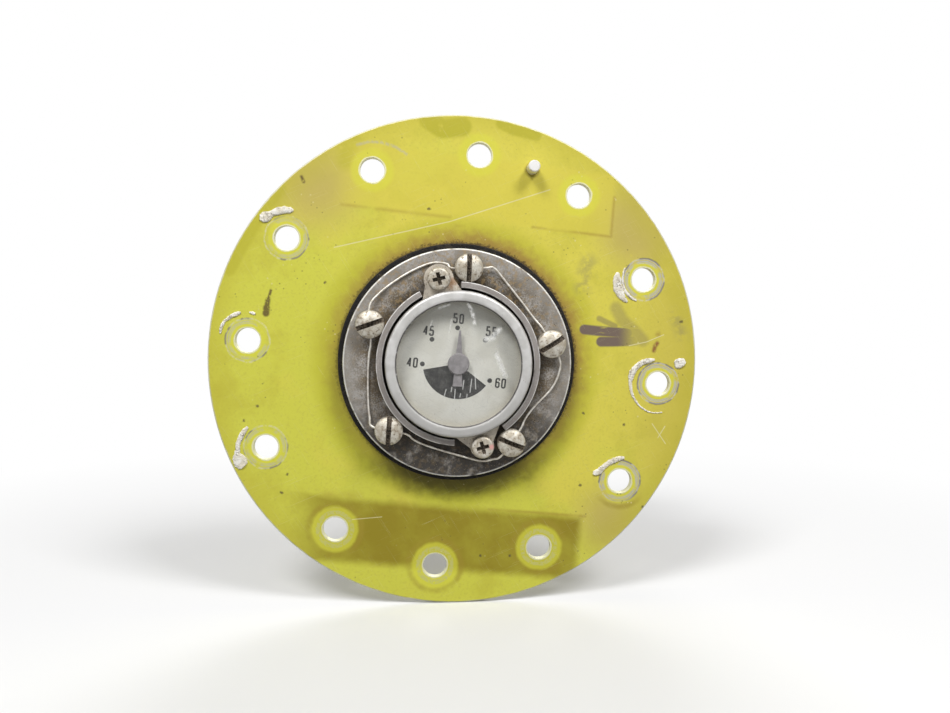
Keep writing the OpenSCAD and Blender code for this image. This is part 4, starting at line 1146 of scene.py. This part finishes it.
# %% [markdown]
# Lock wire
# Soft wire bends in curves, never in corners. A curve that passes through every knot gives that with few
# knots, and it keeps the wire in its holes.


# %% Lock wire
def smooth_path(points, steps):
    """A closed smooth curve through points."""
    path = []
    n = len(points)
    for i in range(n):
        a, b, c, d = (points[(i + k) % n] for k in (-1, 0, 1, 2))
        for k in range(steps):
            t = k / steps
            path.append(0.5 * (2 * b + (c - a) * t + (2 * a - 5 * b + 4 * c - d) * t ** 2
                               + (3 * b - a - 3 * c + d) * t ** 3))
    return path


wire_finish, place = new_finish("lock_wire")
dull = cloud(place, 1.2, 3.0)
tone = dull.ramp(0.35, 0.65).tint((0.68, 0.655, 0.60), (0.48, 0.44, 0.38))
lay(wire_finish, place, dull * 0.02, Base_Color=tone, Metallic=0.55, Roughness=0.4)
wire_mesh = wire(smooth_path(knots, 8), WIRE_R, True)
piece("locking_wire", wire_mesh, wire_finish, "gauge_body", "lock_wire")
print("wire faces:", len(wire_mesh.polygons))

# %% [markdown]
# The dial case
# The dial is a sealed cup with two ears, in cream enamel that has worn and rusted at the upper ear. The solid
# part has the right shape, so it only gets a finish and broken edges.

# %% Dial case
enamel, place = new_finish("case_enamel")
right, back, up = axes(place)
worn = cloud(place, 1.8, 4.0, 0.6)
ear_rust = spot((right, up), (-1.8, 22.6), 1.6, 1.5) * worn.ramp(0.35, 0.55)
tone = coats(worn.ramp(0.35, 0.65).tint((0.60, 0.545, 0.46), (0.46, 0.41, 0.335)),
             (cloud(place, 0.5, 4.0).ramp(0.55, 0.70), (0.15, 0.11, 0.07), 0.7),
             (ear_rust, (0.36, 0.17, 0.06), 0.7))
lay(enamel, place, worn * 0.04, Base_Color=tone, Metallic=0.15, Roughness=0.48)
dress("dial_case", enamel, "machined_alloy", 0.15)
print("dial case finished")

# %% [markdown]
# The dial's screws
# Cross-slotted screws hold the ears to pads on the head. Such a cross is pressed into the head with a punch,
# so here it is two tapered blocks, at right angles, cut out of a turned cap.

# %% Dial screws
DIAL_HEAD_R = 3.2
DIAL_HEAD_Z = 10.3
DIAL_HEAD_TOP = reach("dial_screws")[2]
DIAL_SHANK_R = 1.7
DIAL_SHANK_END = WELL_Z + 0.1
RECESS_W = 1.3
RECESS_L = 4.5
RECESS_DEPTH = 1.5
RECESS_TAPER = 0.6
PUNCH_H = 3.0
cap = soften([(0, DIAL_HEAD_TOP), (DIAL_HEAD_R, DIAL_HEAD_TOP), (DIAL_HEAD_R, DIAL_HEAD_Z),
              (DIAL_SHANK_R, DIAL_HEAD_Z), (DIAL_SHANK_R, DIAL_SHANK_END), (0, DIAL_SHANK_END)],
             [0, 1.0, 0.1, 0, 0, 0], 6)
punch = (RECESS_W, RECESS_L, PUNCH_H)
punch_z = DIAL_HEAD_TOP - RECESS_DEPTH + PUNCH_H / 2
at_ears = [clock(turn, DIAL_SCREW_R) for turn in EAR_TURNS]
caps = [lathe(cap, steps=64, centre=at) for at in at_ears]
dial_screws = piece("ear_screws", join(caps), plating, "gauge_body", "dial_screws")
for at, turn in zip(at_ears, EAR_TURNS):
    for quarter in (0, 90):
        carve(dial_screws, block(punch, at, turn + quarter, punch_z, RECESS_TAPER), slot_grime)
round_edges(dial_screws, 0.1)
dial_screws.data.shade_smooth()
print("dial screw faces:", len(dial_screws.data.polygons))

# %% [markdown]
# The bezel's finish
# The bezel is soft aluminium. Turning leaves fine rings in it and handling leaves nicks. A dark line along
# its inner lip is painted shadow, and its lower half and outer skirt are painted darker as shade. The rings
# are a pattern of the distance from the axis and of the height, so they go round and never across.

# %% Bezel finish
BEZEL_R, BEZEL_SKIRT, BEZEL_Z = reach("bezel_ring")
WINDOW_R = 17.3
alloy, place = new_finish("machined_alloy")
right, back, up = axes(place)
radius = off_axis(right, up)
turning = grooves(radius + back * 0.7, 0.12)
lumps = cloud(place, 3.0, 4.0)
nicked = scratches(place, 35, 2.5, 0.07, 0.5) + scratches(place, -20, 3.0, 0.06, 0.4)
# Painted shadow: a dark line along the inner lip.
lip_shadow = radius.ramp(WINDOW_R + 0.5, WINDOW_R + 0.2) * cloud(place, 1.5).ramp(0.2, 0.42)
# The lower half and the outer skirt are painted darker as shade.
tone = coats(lumps.ramp(0.35, 0.65).tint((0.64, 0.63, 0.615), (0.53, 0.52, 0.50)),
             (up.ramp(8, -18), (0.38, 0.375, 0.36), 0.75),
             (radius.ramp(BEZEL_R - 0.6, BEZEL_R) * lumps.ramp(0.3, 0.6), (0.26, 0.245, 0.23), 0.7),
             (specks(place, 0.7, 0.35), (0.20, 0.16, 0.12), 0.6),
             (lip_shadow, (0.05, 0.044, 0.04), 0.95))
lay(alloy, place, turning * 0.006 + lumps * 0.03 - nicked * 0.012, Base_Color=tone,
    Metallic=0.42 - lip_shadow * 0.3, Roughness=0.30 + lumps * 0.16 + nicked * 0.15)
print("bezel finish laid")

# %% [markdown]
# The bezel
# The ring is rolled over the lens and the cup, so its section is nearly half round. Each corner of its
# outline has a radius of its own: wide on the outer edge, small at the lip that holds the lens.

# %% Bezel
LENS_Z = 13.1
LIP_Z = LENS_Z + 0.02
CASE_R = 19.65
bezel_outline = soften([(CASE_R, BEZEL_SKIRT), (BEZEL_R, BEZEL_SKIRT), (BEZEL_R, BEZEL_Z),
                        (WINDOW_R + 0.8, BEZEL_Z), (WINDOW_R, LENS_Z + 0.3), (WINDOW_R, LIP_Z),
                        (CASE_R, LIP_Z)],
                       [0.1, 0.2, 1.5, 0.7, 0.1, 0.05, 0.1], 8)
piece("rolled_bezel", lathe(bezel_outline, steps=192), alloy, "gauge_body", "bezel_ring")
print("bezel points:", len(bezel_outline))

# %% [markdown]
# The dial's paint
# The dial is a cream disc, painted a little browner and darker towards its rim as shade under the bezel. Its
# print gets a black ink that has worn thin in places.

# %% Dial paint
DIAL_R, _, DIAL_Z = reach("dial_plate")
cream, place = new_finish("dial_paint")
right, back, up = axes(place)
aged = cloud(place, 6.0, 4.0)
# Towards the rim the cream is painted browner and darker, as shade under the bezel.
tone = coats(aged.ramp(0.35, 0.65).tint((0.76, 0.755, 0.715), (0.69, 0.68, 0.63)),
             (off_axis(right, up).ramp(DIAL_R - 2.85, DIAL_R - 0.15), (0.62, 0.58, 0.48), 0.45),
             (specks(place, 0.9, 0.25), (0.34, 0.28, 0.18), 0.5))
lay(cream, place, cloud(place, 0.5) * 0.006, Base_Color=tone, Roughness=0.55)
dress("dial_plate", cream, "dial_paint")
ink, place = new_finish("dial_ink")
worn = cloud(place, 1.4, 4.0)
tone = worn.ramp(0.35, 0.7).tint((0.014, 0.014, 0.015), (0.05, 0.048, 0.047))
lay(ink, place, worn * 0.006, Base_Color=tone, Roughness=0.5)
print("dial paint and ink laid at", DIAL_Z, "mm")

# %% [markdown]
# The dial's figures
# A typeface would come out too thin, so the few figures are drawn as a sign writer draws them: strokes of one
# width along a path in a tall box, with round bowls. A stroke lists its corners, their radii and whether it
# closes. The box runs from -1 to 1 both ways, so one list of corners serves any size.

# %% Dial figures
INK_T = 0.03
FIGURES = (("40", -88, 12.9), ("45", -41.5, 12.5), ("50", 0.5, 12.7), ("55", 46, 13.0), ("60", 115, 13.2))
FIGURE_W = 1.35
FIGURE_H = 2.9
FIGURE_STEP = 1.72
FIGURE_TURN = 6.0
STROKE_W = 0.46
BOWL_R = 0.42
STROKES = {
    "0": [([(-1, -1), (1, -1), (1, 1), (-1, 1)], BOWL_R, True)],
    "4": [([(0.5, 1), (-1, -0.4), (1, -0.4)], 0, False), ([(0.5, 1), (0.5, -1)], 0, False)],
    "5": [([(0.9, 1), (-0.9, 1), (-0.9, 0.15), (1, 0.15), (1, -1), (-1, -1), (-1, -0.55)],
           [0, 0, 0, BOWL_R, BOWL_R, BOWL_R, 0], False)],
    "6": [([(1, 0.55), (1, 1), (-1, 1), (-1, -1), (1, -1), (1, 0.15), (-1, 0.15)],
           [0, BOWL_R, BOWL_R, BOWL_R, BOWL_R, BOWL_R, 0], False)],
}


def stroke(path, closed, centre):
    """A flat stroke of ink along a path of right and up places about a centre."""
    rings = []
    for i, p in enumerate(path):
        arriving = (p - path[i - 1]).normalized()
        leaving = (path[(i + 1) % len(path)] - p).normalized()
        if not closed and i == 0:
            arriving = leaving
        if not closed and i + 1 == len(path):
            leaving = arriving
        ahead = (arriving + leaving).normalized()
        half = Vector((-ahead.y, ahead.x)) * (STROKE_W / 2 / ahead.dot(leaving))
        section = [(p - half, 0), (p + half, 0), (p + half, INK_T), (p - half, INK_T)]
        rings.append([row(centre[0] + q.x, centre[1] + q.y, DIAL_Z + lift) for q, lift in section])
    return hull(rings, closed)


def figure(text, turn, r):
    """Meshes of a number's strokes, centred at a clock angle and a radius."""
    tilt = Matrix.Rotation(math.radians(-FIGURE_TURN), 2)
    box = Vector((FIGURE_W - STROKE_W, FIGURE_H - STROKE_W)) / 2
    meshes = []
    for i, digit in enumerate(text):
        middle = Vector(((i - (len(text) - 1) / 2) * FIGURE_STEP, 0))
        for corners, bowls, closed in STROKES[digit]:
            path = soften([(x * box.x, y * box.y) for x, y in corners], bowls)
            meshes.append(stroke([tilt @ (middle + p) for p in path], closed, clock(turn, r)))
    return meshes


prints = [mesh for written in FIGURES for mesh in figure(*written)]
print("strokes of ink:", len(prints))

# %% [markdown]
# The dial's print
# Dots and a black sector go with the figures. All are a skin a few hundredths of a millimetre thick, so they
# stay crisp from close by and cast no shadow that shows.

# %% Dial print
DOT_R = 0.68
DOTS_R = 10.1
DOT_TURNS = (-90, -47, -1, 49, 118.5)
SECTOR_R = 10.0
SECTOR_TURNS = (128.5, 260.8)
BUSH_R = 1.9


def ink_skin(inner, outer):
    """Outline of a flat skin of ink between two radii."""
    return [(inner, DIAL_Z), (outer, DIAL_Z), (outer, DIAL_Z + INK_T), (inner, DIAL_Z + INK_T)]


prints += [lathe(ink_skin(0, DOT_R), steps=24, centre=clock(turn, DOTS_R)) for turn in DOT_TURNS]
prints.append(lathe(ink_skin(BUSH_R, SECTOR_R), *SECTOR_TURNS, steps=48))
print("dial prints:", len(prints))
piece("dial_print", join(prints), ink, "gauge_body")

# %% [markdown]
# The pointer
# The pointer is a strip of smoky plastic with a wide hub, set on a fine staff. It reads just right of the
# top. Its solid parts turn with the staff, so they stay and only get a finish.

# %% Pointer
smoky, place = new_finish("pointer_plastic")
haze = cloud(place, 1.5, 3.0)
tone = haze.ramp(0.35, 0.65).tint((0.235, 0.22, 0.235), (0.32, 0.30, 0.32))
lay(smoky, place, haze * 0.01, Base_Color=tone, Roughness=0.4)
dress("pointer", smoky, "pointer_plastic", 0.06)
dress("pointer_hub", smoky, "pointer_plastic", 0.06)
print("pointer finished")

# %% [markdown]
# Marks on the lens
# A plastic window scratches easily. It has fine hairs all over and short nicks low down, and milky streaks of
# painted glare stand for light reflected on the dome. Each is a mask, and together they say how much of the
# light is scattered.

# %% Lens marks
NICKS = (((-1.3, -9.5), (-1.1, -6.8)), ((1.0, -6.8), (1.3, -4.3)), ((3.0, -7.7), (3.5, -4.0)),
         ((-3.6, -6.8), (-4.1, -8.6)), ((4.6, -6.8), (4.4, -2.7)), ((0.2, -9.0), (0.4, -8.0)),
         ((-2.2, -7.4), (-2.0, -6.2)), ((2.1, -9.2), (2.2, -8.2)))
clear, place = new_finish("clear_lens")
right, back, up = axes(place)
face = (right, up)
hairs = (scratches(place, 12, 7.0, 0.06, 0.5) + scratches(place, -35, 5.0, 0.05, 0.5)
         + scratches(place, 80, 6.0, 0.05, 0.35))
scuffs = cloud(place, 2.6, 5.0, 0.7).ramp(0.52, 0.75)
milky = cloud(place, 1.0, 4.0).ramp(0.34, 0.6)
# Painted glare: streaks of reflected light on the dome, shown as milky white.
painted_glare = trails(face,
                 ([(2.6, 17.0), (3.7, 14.3), (4.3, 11.5)], 0.3, 0.5, 1.0),
                 ([(-2.0, 12.4), (-2.7, 8.8)], 0.15, 0.35, 0.6),
                 ([(7.4, 7.0), (9.5, 7.4), (11.1, 9.7)], 0.5, 0.8, 1.0),
                 ([(10.4, 3.0), (11.8, -0.9), (12.9, -3.2)], 0.45, 0.7, 1.0),
                 ([(-8.1, 10.2), (-7.2, 12.2)], 0.15, 0.4, 0.6),
                 ([(-5.4, 15.6), (-2.9, 16.5)], 0.2, 0.5, 0.7))
nicks = together([line(face, a, b, 0.07, 0.12) for a, b in NICKS])
# The marks hold the painted glare as well as the real hairs, scuffs and nicks.
marks = (hairs * 0.18 + scuffs * 0.03 + painted_glare * milky * 0.6 + nicks * 0.6).least(0.7)
print("nicks in the lens:", len(NICKS))

# %% [markdown]
# The lens
# The window is a pressed dome. It lets light straight through, mirrors a little of the room, more so at a
# slant, and scatters light at its marks, which hold the painted glare. A mix of clear and shiny shading does
# all three.

# %% Lens
LENS_RIM_R, SEAL_Z, LENS_TOP = reach("lens")
LENS_RISE = LENS_TOP - LENS_Z
glance = place.add("ShaderNodeLayerWeight", {}, {"Blend": 0.5}, "Facing") ** 5
lay(clear, place, hairs * 0.01, Base_Color=(0.92, 0.92, 0.90), Roughness=0.16)
through = place.add("ShaderNodeBsdfTransparent", {}, {"Color": (0.985, 0.985, 0.975)})
mixed_surface(clear, (glance * 0.9 + marks + 0.015).least(1), first=through)
outer = list(reversed(crown(WINDOW_R - 0.05, LENS_Z, LENS_RISE, 16)))
inner = crown(WINDOW_R - 1.5, SEAL_Z + 0.1, LENS_RISE - 0.2, 12)
lens_outline = [(LENS_RIM_R, SEAL_Z), (LENS_RIM_R, LENS_Z), *outer, *inner, (WINDOW_R - 1.4, SEAL_Z)]
lens = piece("window_lens", lathe(lens_outline, steps=128), clear, "gauge_body", "lens", 60)
print("lens faces:", len(lens.data.polygons))

# %% [markdown]
# Bare metals
# The drive is steel, brass, bronze and milled alloy, without paint. One maker gives each metal its tool marks
# and a film of old fuel varnish, so they differ only in colour, shine and the size of their grain. The
# magnets and the jewel share it.


# %% Bare metals
def bare_metal(name, clean, dull, stain, metallic, rough, grain_size):
    """A machined metal with tool marks, tarnish and a few stains."""
    material, place = new_finish(name)
    lumps = cloud(place, 5.0, 4.0, 0.6)
    grain = cloud(stretched(place, 4 * grain_size, grain_size, grain_size), 1.0, 3.0)
    varnish = (cloud(place, 2.0, 4.0, 0.6).ramp(0.52, 0.7) * 0.7 + specks(place, 1.0, 0.4) * 0.5).least(1)
    tone = coats(lumps.ramp(0.35, 0.65).tint(clean, dull), (varnish, stain, 1.0))
    return lay(material, place, grain * 0.012 + lumps * 0.02, Base_Color=tone,
               Metallic=metallic - varnish * 0.3, Roughness=rough + grain * 0.15 + varnish * 0.15)


pin_steel = bare_metal("bright_steel", (0.84, 0.83, 0.81), (0.74, 0.72, 0.69), (0.45, 0.38, 0.28),
                       0.45, 0.3, 0.2)
steel = bare_metal("steel", (0.56, 0.55, 0.53), (0.45, 0.43, 0.40), (0.26, 0.19, 0.11), 0.9, 0.26, 0.2)
brass = bare_metal("gear_brass", (0.72, 0.52, 0.20), (0.58, 0.40, 0.15), (0.26, 0.17, 0.07), 0.9, 0.26, 0.2)
bronze = bare_metal("bearing_bronze", (0.56, 0.33, 0.15), (0.45, 0.26, 0.12), (0.20, 0.11, 0.05),
                    0.9, 0.3, 0.2)
milled = bare_metal("milled_alloy", (0.60, 0.59, 0.57), (0.49, 0.48, 0.45), (0.30, 0.22, 0.12),
                    0.8, 0.34, 0.25)
magnet = bare_metal("magnet", (0.17, 0.165, 0.16), (0.12, 0.115, 0.11), (0.08, 0.06, 0.05), 0.6, 0.45, 0.3)
ruby = bare_metal("jewel", (0.42, 0.02, 0.03), (0.30, 0.01, 0.02), (0.18, 0.01, 0.01), 0.3, 0.15, 0.3)
tapped = bare_metal("tapped_ring", (0.44, 0.43, 0.41), (0.34, 0.33, 0.31), (0.22, 0.17, 0.11), 0.7, 0.42, 0.4)
print("bare metals laid")

# %% [markdown]
# Pieces in bare metal
# Behind the plate are the pieces that the fuel sees: a tapped ring, a column, a small gearbox, gears and
# bushes. The dial hides a staff and its bearings, and the index pin is bare too. All these solid parts are
# right as they are, so a list gives each its metal and the width of its broken edges. Gear teeth stay sharp.

# %% Pieces in bare metal
wearing = {
    ("index_pin",): (pin_steel, "steel", 0.1),
    ("backing_ring",): (tapped, "grey_casting", 0.2),
    ("support_column", "gear_housing", "arm_clamp"): (milled, "machined_alloy", 0.2),
    ("magnet_carrier",): (brass, "gear_brass", 0.1),
    ("drive_pinion", "float_gear"): (brass, "gear_brass", 0.0),
    ("upper_bush", "lower_bush", "pivot_bushes", "dial_bush"): (bronze, "bearing_bronze", 0.1),
    ("column_screws", "housing_screws", "stop_pins", "pivot_shaft", "pivot_clip", "clamp_screw",
     "float_retainers", "drive_shaft", "pointer_staff"): (steel, "steel", 0.1),
    ("drive_magnet", "pointer_magnet"): (magnet, "magnet", 0.1),
    ("jewel_bearing",): (ruby, "jewel", 0.0),
}
for nodes, finish in wearing.items():
    for node in nodes:
        dress(node, *finish)
print("metals on", sum(len(nodes) for nodes in wearing), "solid parts")

# %% [markdown]
# The float and its arm
# A bent rod carries a cork float. The rod is drawn as one smooth wire with the float's place at its end. The
# cork is turned to a cylinder with round edges, then laid along the rod's last stretch.

# %% Float
float_low, float_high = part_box("float")
float_middle = (float_low + float_high) / 2
FLOAT_X = round(float_middle.x / MM, 2)
FLOAT_BACK = round(float_middle.y / MM, 2)
FLOAT_R = round((float_high.x - float_low.x) / 2 / MM, 2)
FLOAT_L = round((float_high.z - float_low.z) / MM, 2)
FLOAT_EDGE = 2.0
ARM_R = 1.0
ARM_CORNER = 3.5
ARM_UP = 13.2
ARM_TOP = FLOAT_L / 2 + 4.95
ARM_FOOT = -FLOAT_L / 2 - 3.25
ARM_ROUTE = [(-7, ARM_UP), (16, ARM_UP), (30, ARM_TOP), (FLOAT_X, ARM_TOP), (FLOAT_X, ARM_FOOT)]
arm_places = soften(ARM_ROUTE, [0, ARM_CORNER, ARM_CORNER, ARM_CORNER, 0], 12)
rod = wire([row(*p, -FLOAT_BACK) for p in arm_places], ARM_R, False)
piece("float_rod", rod, steel, "float_set", "float_arm")
cork_outline = soften([(0, -FLOAT_L / 2), (FLOAT_R, -FLOAT_L / 2), (FLOAT_R, FLOAT_L / 2), (0, FLOAT_L / 2)],
                      [0, FLOAT_EDGE, FLOAT_EDGE, 0], 6)
cork_mesh = lathe(cork_outline, steps=96)
upright = Matrix.Rotation(math.radians(-90), 4, "X")
cork_mesh.transform(Matrix.Translation(row(FLOAT_X, 0, -FLOAT_BACK)) @ upright)
print("float", FLOAT_L, "mm long,", FLOAT_BACK, "mm behind the plate")

# %% [markdown]
# The cork's finish
# Such cork is pressed from granules, which show as patches with dark seams between them. It is pitted, and
# sealed with an amber varnish. Scattered points give the granules, and the distance to their edges the seams.

# %% Cork
GRANULE = 2.6
cork, place = new_finish("cork")
scattered = {"Vector": place, "Scale": 1 / GRANULE}
granule = place.add("ShaderNodeTexVoronoi", {}, scattered, "Color").ramp(0.2, 0.8)
granule_edge = place.add("ShaderNodeTexVoronoi", {"feature": "DISTANCE_TO_EDGE"}, scattered)
pits = cells(place, 1.7).ramp(0.28, 0.10) * cloud(place, 3.0).ramp(0.45, 0.6)
flecks = cloud(place, 0.8, 4.0, 0.6)
tone = coats(granule.tint((0.52, 0.33, 0.155), (0.40, 0.225, 0.095)),
             (flecks.ramp(0.50, 0.70), (0.28, 0.145, 0.06), 0.6),
             (granule_edge.ramp(0.06, 0.0), (0.20, 0.10, 0.04), 0.55),
             (pits, (0.11, 0.05, 0.02), 0.9))
lay(cork, place, flecks * 0.08 + granule * 0.06 - pits * 0.35, Base_Color=tone, Roughness=0.5,
    Coat_Weight=0.3, Coat_Roughness=0.3)
cork_float = piece("cork_float", cork_mesh, cork, "float_set", "float")
print("cork faces:", len(cork_float.data.polygons))

# %% [markdown]
# The dressed gauge has to fill the same space as the solid one.

# %% Finish
print("gauge dressed")
